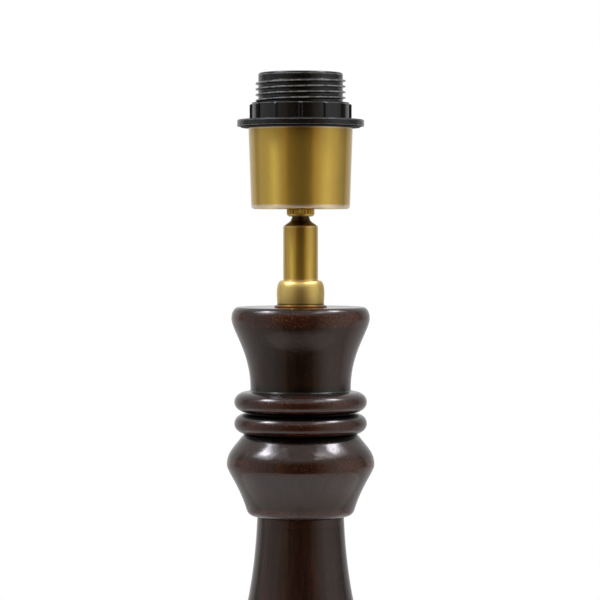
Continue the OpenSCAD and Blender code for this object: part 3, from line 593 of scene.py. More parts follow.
def turned(name, outline, soft, closed=True, columns=COLUMNS, near=2.0, dark=()):
    """A turned piece: a softened outline carried once round the axis. Between some heights, given with
    the width of their soft edges, it gets the painted shade of a hollow."""
    line = soften(np.vstack(outline), soft, closed)
    rows = rows_of(line, closed, every_mm=min(3.0, 2 * near), near=near)
    height, bend = rows[:, 1:2], rows[:, 3:4]
    # Between those heights the piece is marked as a hollow, which timber and brass take as painted shade.
    for low, high, fade in dark:
        there = share(height, low - fade, low + fade) * share(height, high + fade, high - fade)
        bend = np.minimum(bend, bend * (1 - there) - there)
    return make_piece(name, skin(revolve(rows, angles(columns)), rows[:, 2], bend, closed))


print("doubles merge within", MERGE_M / MM, "mm")

# %% [markdown]
# ## Placing a piece
# Each new piece stands for one piece of the measured model. It moves with the same body, takes the same
# finish, and the plain one is hidden.

# %% Define how a new piece takes its place
record = frame["record"]
BODY_OF = {node: body for body, nodes in record["behaviour"]["bodies"].items() for node in nodes}
SLOT_OF = {part["node"]: part["material_slot"] for part in record["subparts"]}
replaced = set()


def stand_for(piece, node, material):
    """Takes the given finish, rides with its body and hides the measured piece that it stands for."""
    piece.data.materials.append(material)
    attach(piece, BODY_OF[node])
    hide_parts(node)
    replaced.add(node)
    return piece


def reach(node):
    """Outer radius, lowest and highest point of a round piece, in millimetres, from its box."""
    low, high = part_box(node)
    return high.x / MM, low.z / MM, high.z / MM


print("the capital reaches", [round(number, 1) for number in reach("capital")])

# %% [markdown]
# ## Effects that several materials share
# Three effects turn up on more than one material, so each is a node group with named inputs and outputs.
# Timber grain runs up the lamp in long streaks, with short dark pores. Handling leaves faint smudges and
# hair-fine scratches on anything glossy. Turning leaves fine rings round a brass piece.

# %% Define the shared effects
SCRATCH_TURNS = ((12, 0, 0), (0, -31, 40), (58, 9, 0))


def group(name, inputs, outputs):
    """An empty node group: returns its tree, what comes in and what goes out."""
    tree = bpy.data.node_groups.new(name, "ShaderNodeTree")
    for socket, kind in inputs.items():
        tree.interface.new_socket(socket, in_out="INPUT", socket_type="NodeSocket" + kind)
    for socket in outputs:
        tree.interface.new_socket(socket, in_out="OUTPUT", socket_type="NodeSocketFloat")
    return tree, tree.nodes.new("NodeGroupInput").outputs, tree.nodes.new("NodeGroupOutput").inputs


def grain_group():
    """Streaks and pores that run up the lamp."""
    tree, inside, outside = group("timber grain", {"Place": "Vector"}, ("Tone", "Pores"))
    streaks = noise(tree, stretch(tree, inside["Place"], (1, 1, 20)), 420, 4, 0.6)
    figure = noise(tree, stretch(tree, inside["Place"], (1, 1, 7)), 55, 3)
    tone = add_up(tree, 0.0, (streaks, 0.5), (figure, 0.5))
    give(tree, outside["Tone"], rise(tree, tone, 0.38, 0.64))
    pores = noise(tree, stretch(tree, inside["Place"], (1, 1, 9)), 2300, 1)
    give(tree, outside["Pores"], rise(tree, pores, 0.62, 0.74))
    return tree


def marks_group():
    """Smudges, and scratches that follow the middle lines of long narrow patterns, in some patches only."""
    tree, inside, outside = group("handling marks", {"Place": "Vector"}, ("Smudges", "Scratches"))
    smudges = noise(tree, inside["Place"], 60, 5, 0.6)
    give(tree, outside["Smudges"], rise(tree, smudges, 0.46, 0.66))
    lines = 0.0
    for turn in SCRATCH_TURNS:
        across = noise(tree, stretch(tree, inside["Place"], (1, 1, 16), turn=turn), 700, 1)
        off = calc(tree, "ABSOLUTE", calc(tree, "SUBTRACT", across, 0.5))
        lines = calc(tree, "ADD", lines, rise(tree, off, 0.0, 0.008, 1.0, 0.0))
    patches = rise(tree, noise(tree, inside["Place"], 90, 2), 0.54, 0.66)
    give(tree, outside["Scratches"], times(tree, calc(tree, "MINIMUM", lines, 1.0), patches))
    return tree


def lathe_group():
    """Fine rings: a pattern with one dimension, read along the piece's outline."""
    tree, inside, outside = group("turning lines", {"Map": "Vector"}, ("Rings",))
    made = tree.nodes.new("ShaderNodeTexNoise")
    made.noise_dimensions = "1D"
    made.inputs["Scale"].default_value = 7000
    made.inputs["Detail"].default_value = 3
    give(tree, made.inputs["W"], parts_of(tree, inside["Map"])["Y"])
    give(tree, outside["Rings"], made.outputs["Fac"])
    return tree


GRAIN = grain_group()
MARKS = marks_group()
LATHE = lathe_group()
print("shared effects:", ", ".join(effect.name for effect in (GRAIN, MARKS, LATHE)))

# %% [markdown]
# ## A blank finish
# Each material starts from the same shader. What is the same all over is set as a number on the shader
# itself. What varies, such as colour, roughness and relief, is linked to it.

# %% Define how a finish is put together


def use(tree, effect, **values):
    """Puts a shared effect into a material and returns its outputs."""
    made = tree.nodes.new("ShaderNodeGroup")
    made.node_tree = effect
    for name, value in values.items():
        give(tree, made.inputs[name], value)
    return made.outputs


def new_material(name, **numbers):
    """A principled material with some of its numbers set. Returns it, its tree and its shader's inputs."""
    material = bpy.data.materials.new(name)
    material.use_nodes = True
    shader = material.node_tree.nodes["Principled BSDF"]
    for socket, value in numbers.items():
        shader.inputs[socket.replace("_", " ")].default_value = value
    return material, material.node_tree, shader.inputs


def dress(tree, shader, colour, rough, relief, metres):
    """Gives a shader its colour and roughness, and a relief from 0 to 1 that is so many metres high."""
    give(tree, shader["Base Color"], colour)
    give(tree, shader["Roughness"], rough)
    bump = tree.nodes.new("ShaderNodeBump")
    bump.inputs["Distance"].default_value = metres
    give(tree, bump.inputs["Height"], relief)
    give(tree, shader["Normal"], bump.outputs["Normal"])


print("finish helpers are ready")

# %% [markdown]
# ## Timber
# The body is a close-grained hardwood, stained nearly black-brown and lacquered to a gloss. The stain is
# thinner on the edges, where sanding rubbed it, and there it shows red-brown with golden specks. The
# grooves and the last millimetres under the beads are painted near black, as shade. The lacquer follows
# the pores a little, which breaks up the highlights. Its haze puts a soft glow round them: that is the
# coat, a second and duller gloss.

# %% Define the timber finish
TIMBER_DARK = (0.0060, 0.0021, 0.0013, 1)
TIMBER_LIGHT = (0.023, 0.0064, 0.0034, 1)
TIMBER_PORE = (0.0030, 0.0016, 0.0013, 1)
TIMBER_RUBBED = (0.056, 0.0125, 0.0060, 1)
TIMBER_GOLD = (0.34, 0.11, 0.038, 1)
TIMBER_SHADE = (0.0012, 0.0007, 0.0006, 1)


def timber(name, shift):
    """Stained and lacquered timber. The shift in metres gives each piece its own cut of the grain."""
    material, tree, shader = new_material(
        "timber_" + name, IOR=1.5, Specular_Tint=(1.0, 0.85, 0.77, 1), Coat_Roughness=0.38
    )
    edge, hollow = edges_and_hollows(tree)
    place = stretch(tree, object_place(tree), shift=shift)
    grain = use(tree, GRAIN, Place=place)
    marks = use(tree, MARKS, Place=place)
    colour = blend(tree, grain["Tone"], TIMBER_DARK, TIMBER_LIGHT)
    colour = blend(tree, times(tree, grain["Pores"], 0.7), colour, TIMBER_PORE)
    patches = rise(tree, noise(tree, place, 70, 3), 0.36, 0.62)
    dots = noise(tree, place, 3000, 1)
    rubbed = times(tree, edge, add_up(tree, 0.3, (patches, 0.4)), rise(tree, dots, 0.40, 0.60, 0.35, 1.3))
    colour = blend(tree, rubbed, colour, TIMBER_RUBBED)
    specks = rise(tree, dots, 0.60, 0.68)
    gentle = window(tree, edge, 0.55, 0.33, 0.08)
    gold = times(tree, gentle, specks, rise(tree, patches, 0.0, 1.0, 0.15, 0.65))
    colour = blend(tree, gold, colour, TIMBER_GOLD)
    # Painted shade: the grooves and the bands under the beads are darkened to near black.
    colour = blend(tree, hollow, colour, TIMBER_SHADE)
    give(tree, shader["Coat Weight"], add_up(tree, 0.06, (marks["Smudges"], 0.08)))
    pores, scratches = grain["Pores"], marks["Scratches"]
    rough = add_up(tree, 0.085, (marks["Smudges"], 0.05), (pores, 0.14), (scratches, 0.12))
    relief = add_up(tree, 0.0, (grain["Tone"], 0.5), (pores, -0.6), (scratches, -0.4))
    dress(tree, shader, colour, rough, relief, 0.00003)
    return material


GRAIN_SHIFTS = {
    "plinth": (0.31, 0.12, 0.4), "foot": (0.1, 0.2, 0.3), "lower_rings": (0.5, 0.4, 0.1),
    "column": (0.027, 0.6, 0.22), "capital": (0.7, 0.15, 0.6),
}
timbers = {node: timber(node, shift) for node, shift in GRAIN_SHIFTS.items()}
print("timber finishes:", len(timbers))

# %% [markdown]
# ## Brass
# The stem and the cup are brass with a satin finish from fine lathe brushing. The brushing runs round
# the axis, so highlights stretch up and down into vertical bands. Their edges are rubbed pale, and their
# hollows are darkened as painted shade. The bell cap was bead blasted instead: its highlights are round
# and soft, and its lip is painted coppery as a reflection of the timber. The contacts inside are plain
# bright brass, and the fasteners are plated steel.

# %% Define the brass finishes
BRASS = (0.57, 0.366, 0.058, 1)
BRASS_DARK = (0.43, 0.262, 0.040, 1)
BRASS_PALE = (0.74, 0.535, 0.170, 1)
BRASS_RUBBED = (0.90, 0.78, 0.62, 1)
BRASS_PAINTED_SHADE = (0.065, 0.036, 0.009, 1)
BRASS_PAINTED_REFLECTION = (0.28, 0.095, 0.032, 1)
BRIGHT_BRASS = (0.75, 0.56, 0.25, 1)
PAINTED_REFLECTION_UP_TO = (0.3272, 0.3276)


def brushed_brass(name, rough):
    """Brass with rings of brushing: highlights spread across the rings. Its edges are rubbed pale, and its
    hollows get painted shade.
    """
    material, tree, shader = new_material(
        name, Metallic=0.93, Anisotropic=0.95, Anisotropic_Rotation=0.25,
        Coat_Weight=0.45, Coat_Roughness=0.1,
    )
    tangent = tree.nodes.new("ShaderNodeTangent")
    tangent.direction_type = "UV_MAP"
    tangent.uv_map = "UVMap"
    give(tree, shader["Tangent"], tangent.outputs[0])
    marks = use(tree, MARKS, Place=object_place(tree))
    rings = use(tree, LATHE, Map=tree.nodes.new("ShaderNodeTexCoord").outputs["UV"])["Rings"]
    edge, hollow = edges_and_hollows(tree)
    colour = blend(tree, times(tree, marks["Smudges"], 0.25), BRASS, BRASS_DARK)
    colour = blend(tree, times(tree, edge, 0.7), colour, BRASS_RUBBED)
    # Painted shade: the hollows are darkened, most of all the stem's shoulder.
    colour = blend(tree, hollow, colour, BRASS_PAINTED_SHADE)
    rough = add_up(tree, rough - 0.03, (rings, 0.06), (marks["Smudges"], 0.04))
    dress(tree, shader, colour, rough, add_up(tree, rings, (marks["Scratches"], -0.3)), 0.0000012)
    return material


def blasted_brass(name, rough):
    """Brass with a fine even grain in every direction, darker where it was handled. Its lip has a painted
    coppery reflection of the timber, and its hollows get painted shade.
    """
    material, tree, shader = new_material(name, Metallic=0.93)
    place = object_place(tree)
    marks = use(tree, MARKS, Place=place)
    beads = noise(tree, place, 2600, 2)
    hollow = edges_and_hollows(tree)[1]
    # Painted reflection: the lip is coloured coppery, like the dark red timber that it mirrors.
    lip = rise(tree, parts_of(tree, place)["Z"], *PAINTED_REFLECTION_UP_TO, 1.0, 0.0)
    colour = blend(tree, times(tree, marks["Smudges"], 0.35), BRASS_PALE, BRASS_DARK)
    colour = blend(tree, lip, colour, BRASS_PAINTED_REFLECTION)
    # Painted shade: the hollows are darkened.
    colour = blend(tree, hollow, colour, BRASS_PAINTED_SHADE)
    dress(tree, shader, colour, add_up(tree, rough - 0.04, (beads, 0.08)), beads, 0.00004)
    return material


def plain_metal(name, colour, worn, rough):
    """Bright metal from the press or the plating bath, a little cloudy."""
    material, tree, shader = new_material(name, Metallic=1.0)
    place = object_place(tree)
    marks = use(tree, MARKS, Place=place)
    cloud = noise(tree, place, 350, 4)
    colour = blend(tree, rise(tree, cloud, 0.4, 0.65), colour, worn)
    relief = calc(tree, "SUBTRACT", cloud, marks["Scratches"])
    dress(tree, shader, colour, add_up(tree, rough - 0.07, (cloud, 0.14)), relief, 0.000008)
    return material


satin_brass = brushed_brass("satin_brass", 0.30)
bell_brass = blasted_brass("blasted_brass", 0.38)
plain_brass = plain_metal("plain_brass", BRIGHT_BRASS, (0.62, 0.43, 0.17, 1), 0.24)
zinc_steel = plain_metal("zinc_steel", (0.60, 0.61, 0.62, 1), (0.46, 0.47, 0.49, 1), 0.34)
spring_steel = plain_metal("spring_steel", (0.52, 0.52, 0.53, 1), (0.42, 0.42, 0.43, 1), 0.28)
metals = (satin_brass, bell_brass, plain_brass, zinc_steel, spring_steel)
print("metal finishes:", ", ".join(metal.name for metal in metals))

# %% [markdown]
# ## Plastic, porcelain and felt
# The lampholder is moulded in glossy black plastic. Its surface is not quite flat: the mould left a
# fine waviness and a few dull specks, which grey its highlights. Its edges and the crests of its thread
# are painted grey, as scuffs from screwing the ring on and off and as a painted highlight along each
# crest. The socket block inside is glazed porcelain, and the felt under the plinth is a mat of short dark
# fibres.

# %% Define the other finishes
PLASTIC_BLACK = (0.0030, 0.0030, 0.0033, 1)
PLASTIC_DUST = (0.070, 0.070, 0.066, 1)
PLASTIC_SCUFF_AND_HIGHLIGHT = (0.26, 0.26, 0.25, 1)
PORCELAIN = (0.74, 0.71, 0.64, 1)
PORCELAIN_PALE = (0.84, 0.82, 0.76, 1)
FELT_DARK = (0.009, 0.014, 0.011, 1)
FELT_LIGHT = (0.026, 0.038, 0.030, 1)


def black_plastic_material():
    """Glossy black moulding with fine waviness and dull specks. Its edges and crests are painted grey, as
    scuffs and as a painted highlight, and it is dull in its hollows."""
    material, tree, shader = new_material("black_plastic", IOR=1.46)
    place = object_place(tree)
    marks = use(tree, MARKS, Place=place)
    edge, dull = edges_and_hollows(tree)
    broken = rise(tree, noise(tree, place, 260, 3, 0.6), 0.35, 0.62, 0.4, 1.0)
    # Scuffs and a painted highlight: edges and thread crests are painted grey.
    scuff_and_highlight = times(tree, rise(tree, edge, 0.8, 1.0), broken)
    specks = rise(tree, noise(tree, place, 2600, 3, 0.7), 0.58, 0.72)
    dusty = times(tree, specks, rise(tree, noise(tree, place, 140, 2), 0.42, 0.62))
    waves = noise(tree, place, 620, 3)
    colour = blend(tree, dusty, PLASTIC_BLACK, PLASTIC_DUST)
    colour = blend(tree, scuff_and_highlight, colour, PLASTIC_SCUFF_AND_HIGHLIGHT)
    rough = add_up(tree, 0.05, (specks, 0.10), (scuff_and_highlight, 0.3), (dull, 0.7), (marks["Smudges"], 0.08))
    relief = add_up(tree, waves, (specks, 0.3), (marks["Scratches"], -0.4))
    dress(tree, shader, colour, rough, relief, 0.00003)
    return material


def porcelain_material():
    """White glazed ceramic with a faint cloudiness."""
    material, tree, shader = new_material("white_porcelain", IOR=1.5)
    place = object_place(tree)
    cloud = noise(tree, place, 260, 4)
    colour = blend(tree, cloud, PORCELAIN, PORCELAIN_PALE)
    dress(tree, shader, colour, add_up(tree, 0.16, (cloud, 0.2)), noise(tree, place, 500, 2), 0.00003)
    return material


def felt_material():
    """Dark green-black felt: tangled fibres with a soft sheen."""
    material, tree, shader = new_material("green_black_felt", Sheen_Weight=0.3, Sheen_Roughness=0.5)
    tangle = noise(tree, object_place(tree), 1500, 6, 0.75)
    colour = blend(tree, rise(tree, tangle, 0.35, 0.65), FELT_DARK, FELT_LIGHT)
    dress(tree, shader, colour, 0.95, tangle, 0.0004)
    return material


black_plastic = black_plastic_material()
white_porcelain = porcelain_material()
green_black_felt = felt_material()
others = (black_plastic, white_porcelain, green_black_felt)
print("other finishes:", ", ".join(material.name for material in others))

# %% [markdown]
# ## The turned timber
# Five pieces of timber, each cut on the lathe to a template: the plinth ring, the foot with its cove,
# two lower rings, the long column with its belly, and the capital. Turning is a surface of revolution, so
# each is an outline carried round the axis. The beads are half rounds, and the cove of the foot is a
# quarter of an ellipse.

# %% Draw the outlines of the timber
ROD_HOLE = 5.3
TENON_HOLE = 15.1
FELT_TOP = 1.5
PLINTH_TOP = 17.5
FOOT_TOP = 43.5
RINGS_TOP = 62.7
CAPITAL_LOW = 233.7
TIMBER_TOP = 326.6
BEAD_DEPTH = 5.6
BEAD_HALF = 4.6
BEAD_PITCH = 9.6
LOWER_BEADS = 72
UPPER_BEADS = 59.1
UPPER_BEAD_TOP = 289.2


def bead(diameter, top):
    """A half-round ring in the middle of its pitch, under the given height."""
    return arc((diameter / 2 - BEAD_DEPTH, top - BEAD_PITCH / 2), (BEAD_DEPTH, BEAD_HALF), 90, -90, 48)


plinth_outline = (
    [(44, PLINTH_TOP), (70, PLINTH_TOP)], arc((66.1, 9.5), (8.9, 8.9), 64, -64),
    [(70, FELT_TOP), (44, FELT_TOP)],
)
foot_outline = (
    [(TENON_HOLE, FOOT_TOP), (32, FOOT_TOP)], arc((66, 41.5), (34, 22), 180, 270, 48),
    [(66, PLINTH_TOP), (44, PLINTH_TOP), (44, 19.5)],
    [(ROD_HOLE, 19.5), (ROD_HOLE, 31.3), (TENON_HOLE, 31.3)],
)
rings_outline = (
    [(TENON_HOLE, RINGS_TOP), (30.4, RINGS_TOP)],
    bead(LOWER_BEADS, RINGS_TOP), bead(LOWER_BEADS, RINGS_TOP - BEAD_PITCH),
    [(30.4, FOOT_TOP), (TENON_HOLE, FOOT_TOP)],
)
column_outline = (
    [(ROD_HOLE, 248.2), (13, 248.2), (13, CAPITAL_LOW)],
    curve((19.3, CAPITAL_LOW), (46.5, 112.7), (0.09, 0.56), (0, 0.27), 96),
    curve((46.5, 112.7), (26, RINGS_TOP), (0, 0.5), (0.05, 0.3), 64),
    [(15, RINGS_TOP), (15, 31.5), (ROD_HOLE, 31.5)],
)
capital_outline = (
    [(ROD_HOLE, TIMBER_TOP)], arc((27.8, 321.7), (3, 4.9), 90, 0),
    curve((30.8, 321.7), (22.35, 290.6), (0, 0.18), (0, 0.52), 64), [(22.35, 289.5)],
    bead(UPPER_BEADS, UPPER_BEAD_TOP), bead(UPPER_BEADS, UPPER_BEAD_TOP - BEAD_PITCH),
    curve((25.3, 270.0), (32.9, 256.6), (0.54, 0.4), (0, 0.41)),
    curve((32.9, 256.6), (24.2, 236.8), (0, 0.15), (0.36, 0.53)),
    curve((24.2, 236.8), (20.3, CAPITAL_LOW), (0.13, 0.58), (0.59, 0)),
    [(13.1, CAPITAL_LOW), (13.1, 248.3), (ROD_HOLE, 248.3)],
)
print("points of the capital's outline:", len(np.vstack(capital_outline)))

# %% [markdown]
# ## On the lathe
# The lacquer rounds every edge by about a quarter of a millimetre. The last millimetres under each bead
# get painted shade, so each outline goes with the heights at which a bead ends.

# %% Turn the timber pieces
LACQUER = 0.28
# Painted shade: the band under each bead, from where the bead ends, and the width of its soft edge.
UNDER_BEAD_SHADE = (-2.4, 0.3)
UNDER_BEAD_SHADE_FADE = 0.9
TIMBER_OUTLINES = {
    "plinth": (plinth_outline, ()),
    "foot": (foot_outline, (43.5,)),
    "lower_rings": (rings_outline, (53.2,)),
    "column": (column_outline, ()),
    "capital": (capital_outline, (279.7, 270.1)),
}


def turn_timber(node):
    """Turns the outline of that node, with painted shade under its beads."""
    outline, bead_ends = TIMBER_OUTLINES[node]
    dark = [(end + UNDER_BEAD_SHADE[0], end + UNDER_BEAD_SHADE[1], UNDER_BEAD_SHADE_FADE) for end in bead_ends]
    return turned(node + "_turned", outline, LACQUER, dark=dark)


timber_pieces = {node: turn_timber(node) for node in TIMBER_OUTLINES}

# %% [markdown]
# ## The cord hole
# The flex leaves through a hole bored across the plinth at the back, with a wider flat seat for the
# collar of its bush. Boring removes a cylinder, and so does an exact Boolean cut here.

# %% Bore the plinth for the cord
CORD_Z = 9.5


def bore(piece, radius, start, stop):
    """Cuts a cylinder along +Y out of a piece, between two distances from the axis in millimetres."""
    mesh = bpy.data.meshes.new("cutter")
    work = bmesh.new()
    r, length = radius * MM, (stop - start) * MM
    bmesh.ops.create_cone(work, cap_ends=True, segments=64, radius1=r, radius2=r, depth=length)
    work.to_mesh(mesh)
    work.free()
    cutter = bpy.data.objects.new("cutter", mesh)
    cutter.rotation_euler = (np.radians(90), 0, 0)
    cutter.location = (0, (start + stop) / 2 * MM, CORD_Z * MM)
    bpy.context.scene.collection.objects.link(cutter)
    cut = piece.modifiers.new("bore", "BOOLEAN")
    cut.operation = "DIFFERENCE"
    cut.solver = "EXACT"
    cut.object = cutter
    bpy.context.view_layer.update()
    cut_mesh = bpy.data.meshes.new_from_object(piece.evaluated_get(bpy.context.evaluated_depsgraph_get()))
    piece.modifiers.clear()
    piece.data = cut_mesh
    bpy.data.objects.remove(cutter)


plinth = timber_pieces["plinth"]
bore(plinth, 4.7, 25, 80)
bore(plinth, 6.4, 73, 80)
plinth.data.set_sharp_from_angle(angle=np.radians(40))
for node, piece in timber_pieces.items():
    piece.data.materials.clear()
    stand_for(piece, node, timbers[node])
print("plinth faces after boring:", len(plinth.data.polygons))

# %% [markdown]
# ## Felt and inlet bush
# The felt is a disc punched from sheet. The bush is a short moulded tube with a collar, pushed into the
# cord hole, so it is turned like the rest and then laid along +Y.

# %% Make the felt and the bush
felt_outline = [(0, FELT_TOP), (67, FELT_TOP), (67, 0), (0, 0)]
stand_for(turned("felt_disc", felt_outline, 0.2, closed=False), "felt_pad", green_black_felt)


def lay_along_y(piece, height):
    """Turns a piece made round Z so that its axis runs along +Y at the given height."""
    points = np.empty(len(piece.data.vertices) * 3, np.float32)
    piece.data.vertices.foreach_get("co", points)
    x, y, z = points.reshape(-1, 3).T
    piece.data.vertices.foreach_set("co", np.stack([x, z, height * MM - y], axis=1).ravel())
    piece.data.update()


bush_outline = [(3.2, 74.5), (6.2, 74.5), (6.2, 73), (4.6, 73), (4.6, 43.76), (3.2, 43.76)]
bush = turned("cord_bush_moulding", bush_outline, 0.12, columns=96)
lay_along_y(bush, CORD_Z)
stand_for(bush, "cord_bush", black_plastic)

# %% [markdown]
# ## The brass neck
# The bell cap is pressed from sheet and hides the nut that clamps the timber. The stem is turned from
# bar, and the hollow of its shoulder is darkened as painted shade. A small knurled nut locks the cup on
# it, and the cup itself is spun from sheet over a former. All of them are outlines of their true wall, so
# their rims show the thickness of the metal. Metal is rubbed in a much narrower line than timber.

# %% Make the brass neck
POLISHED = 0.09
RUBBED_LINE = 0.3
KNURLS = 24
KNURL_DEPTH = 0.42
KNURL_LOW = 368.1
BELL_SHEET = 0.9
# Heights of the stem's shoulder that get painted shade, and the width of its soft edge.
SHOULDER_PAINTED_SHADE = (362.8, 366.5, 0.2)


def bell_side(inset):
    """The side of the bell cap from its crown to its waist, that far inside its skin."""
    top, r = 338.4 - inset, 10.6 - inset
    middle = (r, top - 5.9)
    return np.vstack([
        curve((r - 2.3, top), middle, (0.7, 0), (0, 0.61)),
        curve(middle, (r - 0.25, 327.7), (0, 0.5), (0, 0.21), 12),
    ])


bell_outline = (
    [(5.1, 338.4)], bell_side(0), [(11.15, 327.25), (11.65, 327.1), (11.65, TIMBER_TOP), (9.7, TIMBER_TOP)],
    bell_side(BELL_SHEET)[::-1], [(5.1, 337.5)],
)
stem_outline = (
    [(3.2, 379.9), (4.5, 379.9), (5, 379.4), (5, 367), (3.9, 367), (3.9, 366.1), (4.15, 366.0)],
    curve((7.45, 362.7), (4.15, 365.8), (0.45, 0.4), (0, 0.4))[::-1],
    [(7.75, 362.4), (7.75, 338.4), (5.05, 338.4), (5.05, 352.6), (3.2, 352.6)],
)
cup_outline = (
    [(5.15, 370.9)], arc((20.55, 371.5), (0.6, 0.6), -90, 0, 12), [(22.35, 406.1), (23.15, 406.1)],
    arc((20.55, 371.5), (1.4, 1.4), 0, -90, 24), [(5.15, 370.1)],
)
nut_outline = (
    [(5.05, 370.1), (6, 370.1), (6.2, 369.9)], arc((4.7, 368.2), (1.5, 1.5), 0, -70, 24), [(5.05, 366.75)],
)


def knurled(name, outline, soft):
    """A turned piece whose outer wall dips by a share of the knurl depth: a raised cosine to a power.
    The knurls run out above the rounded lower edge, which stays smooth."""
    rows = rows_of(soften(np.vstack(outline), soft), every_mm=0.2, near=RUBBED_LINE)
    angle = angles(KNURLS * 12)
    dip = KNURL_DEPTH * (0.5 + 0.5 * np.cos(KNURLS * angle)) ** 1.5
    outer = share(rows[:, 0:1], 5.6, 6.0) * share(rows[:, 1:2], KNURL_LOW - 0.3, KNURL_LOW + 0.3)
    grid = revolve(rows, angle, rows[:, 0:1] - outer * dip)
    return make_piece(name, skin(grid, rows[:, 2]))


stand_for(turned("bell_cap_pressing", bell_outline, 0.06, near=RUBBED_LINE), "bell_cap", bell_brass)
stem = turned("stem_turning", stem_outline, POLISHED, near=RUBBED_LINE, dark=[SHOULDER_PAINTED_SHADE])
stand_for(stem, "stem", satin_brass)
stand_for(turned("cup_spinning", cup_outline, POLISHED, near=RUBBED_LINE), "holder_cup", satin_brass)
stand_for(knurled("knurled_nut_turning", nut_outline, POLISHED), "knurled_nut", satin_brass)

# %% [markdown]
# ## Screw threads
# The measured model draws its threads as closed rings. The real ones climb. A thread is a wall whose
# rows are sheared: each row rises by one pitch while it goes once round, so at the seam it meets the
# row one turn above. The radius depends on the row alone, which makes the ridge, and fades to the
# plain wall at both ends of the thread.

# %% Define how a thread is cut
ROWS_A_TURN = 20
ON_WALL = 0.02


def thread_wall(ridge, pitch, start, wall, full, fade):
    """A wall between two heights with a helical ridge. Row h stands at height start + pitch (h + a / 2 pi),
    and its radius is ridge(h, strength), where strength falls to 0 within fade of the full part. The bend
    of a point is its share of the whole ridge, so the crests take scuffs and a painted highlight."""
    low, high = wall
    first = np.floor((low - start) / pitch) - 1
    last = (high - start) / pitch
    rows = np.arange(first * ROWS_A_TURN, np.floor(last * ROWS_A_TURN) + 1) / ROWS_A_TURN
    h = np.append(rows, last)[:, None]
    angle = angles()
    turn = angle / (2 * np.pi)
    crest = start + pitch * (np.round(h) + turn)
    strength = share(crest, full[0] - fade, full[0]) * share(crest, full[1] + fade, full[1])
    strength = smooth(strength)
    z = np.clip(start + pitch * (h + turn), low, high)
    r = ridge(h, strength)
    grid = np.stack([r * np.cos(angle), r * np.sin(angle), z], axis=-1)
    return skin(grid, h[:, 0] * pitch, share(r, r.min(), r.max()), closed=False, shift=ROWS_A_TURN)


def open_strip(rows, wall_r, wall):
    """The closed rows of a piece, opened where its outer wall runs between two heights."""
    low, high = wall
    inside = (np.abs(rows[:, 0] - wall_r) < ON_WALL) & (rows[:, 1] > low) & (rows[:, 1] < high)
    rows = np.roll(rows, -int(np.flatnonzero(inside & ~np.roll(inside, -1))[0]) - 1, axis=0)
    rows = rows[: len(rows) - inside.sum()]
    bottom = [wall_r, low, rows[0, 2], 0]
    top = [wall_r, high, rows[-1, 2], 0]
    return np.vstack([bottom, rows, top])


print("rows in each turn of a thread:", ROWS_A_TURN)

# %% [markdown]
# ## The threaded skirt
# The black skirt closes the lampholder, and the shade ring runs on its thread, 40 mm across with a
# pitch of 2.5 mm. Its ridges are thin and its hollows wide, as moulded threads are. The top turn ends
# on the right of the front and leaves a plain rounded land above it.

# %% Make the threaded skirt
SKIRT_ROOT = 18.8
SKIRT_DEPTH = 1.2
SKIRT_PITCH = 2.5
SKIRT_START = 424.375
SKIRT_WALL = (407.0, 429.0)
SKIRT_FULL = (409.2, 427.0)
SKIRT_FADE = 1.1
CREST_HALF = 0.22
FOOT_HALF = 0.72
RING_SEAT = 406.2

skirt_outline = (
    [(14.6, 430.5)], arc((17.8, 429.5), (1, 1), 90, 0, 16), [(SKIRT_ROOT, RING_SEAT), (22.05, RING_SEAT)],
    [
        (22.05, 400.2), (19.8, 400.2), (19.8, 394.1), (17.7, 394.1),
        (17.7, 386.1), (16.4, 386.1), (16.4, 426.5), (14.6, 426.5),
    ],
)


def skirt_ridge(h, strength):
    """Root radius plus a ridge: 1 within the crest, 0 beyond the foot, smooth between."""
    away = np.abs(h - np.round(h)) * SKIRT_PITCH
    return SKIRT_ROOT + SKIRT_DEPTH * strength * smooth(share(away, FOOT_HALF, CREST_HALF))


skirt_line = soften(np.vstack(skirt_outline), 0.12)
skirt_rows = open_strip(rows_of(skirt_line, near=0.5), SKIRT_ROOT, SKIRT_WALL)
skirt = make_piece(
    "threaded_skirt_moulding",
    thread_wall(skirt_ridge, SKIRT_PITCH, SKIRT_START, SKIRT_WALL, SKIRT_FULL, SKIRT_FADE),
    skin(revolve(skirt_rows, angles()), skirt_rows[:, 2], skirt_rows[:, 3:4], closed=False),
)
stand_for(skirt, "threaded_skirt", black_plastic)

# %% [markdown]
# ## The shade ring
# The ring that holds the shade is a moulding with a flange, a step under it and a collar with twelve
# grip ribs. It is a turned outline too, except that the collar steps out to the rib radius where a
# rib stands. The columns crowd together at the flanks of the ribs, so that their edges stay crisp.

# %% Make the shade ring
RIBS = 12
RIB_R = 22.65
RIB_HALF_DEG = 1.82
RIB_EDGE_DEG = 0.42
RIB_TOP = (416.4, 416.75)
RIB_FOOT = 409.5
COLLAR_R = 21.65
OUTER_FROM_R = 21
FLANGE_TOP = 409.7
FLANGE_LOW = 406.8
RING_SCUFF_AND_HIGHLIGHT = 0.93
RIB_OFFSETS = (0, 0.7, 1.2, 1.5, 1.7, 1.9, 2.1, 2.35, 2.8, 4, 6, 8.5, 11.5)

ring_outline = [
    (20.15, 417.2), (21.35, 417.2), (COLLAR_R, 416.9), (COLLAR_R, FLANGE_TOP), (27.9, FLANGE_TOP),
    (28.2, 409.4), (28.2, FLANGE_LOW), (26.5, FLANGE_LOW), (26.5, RING_SEAT), (20.15, RING_SEAT),
]


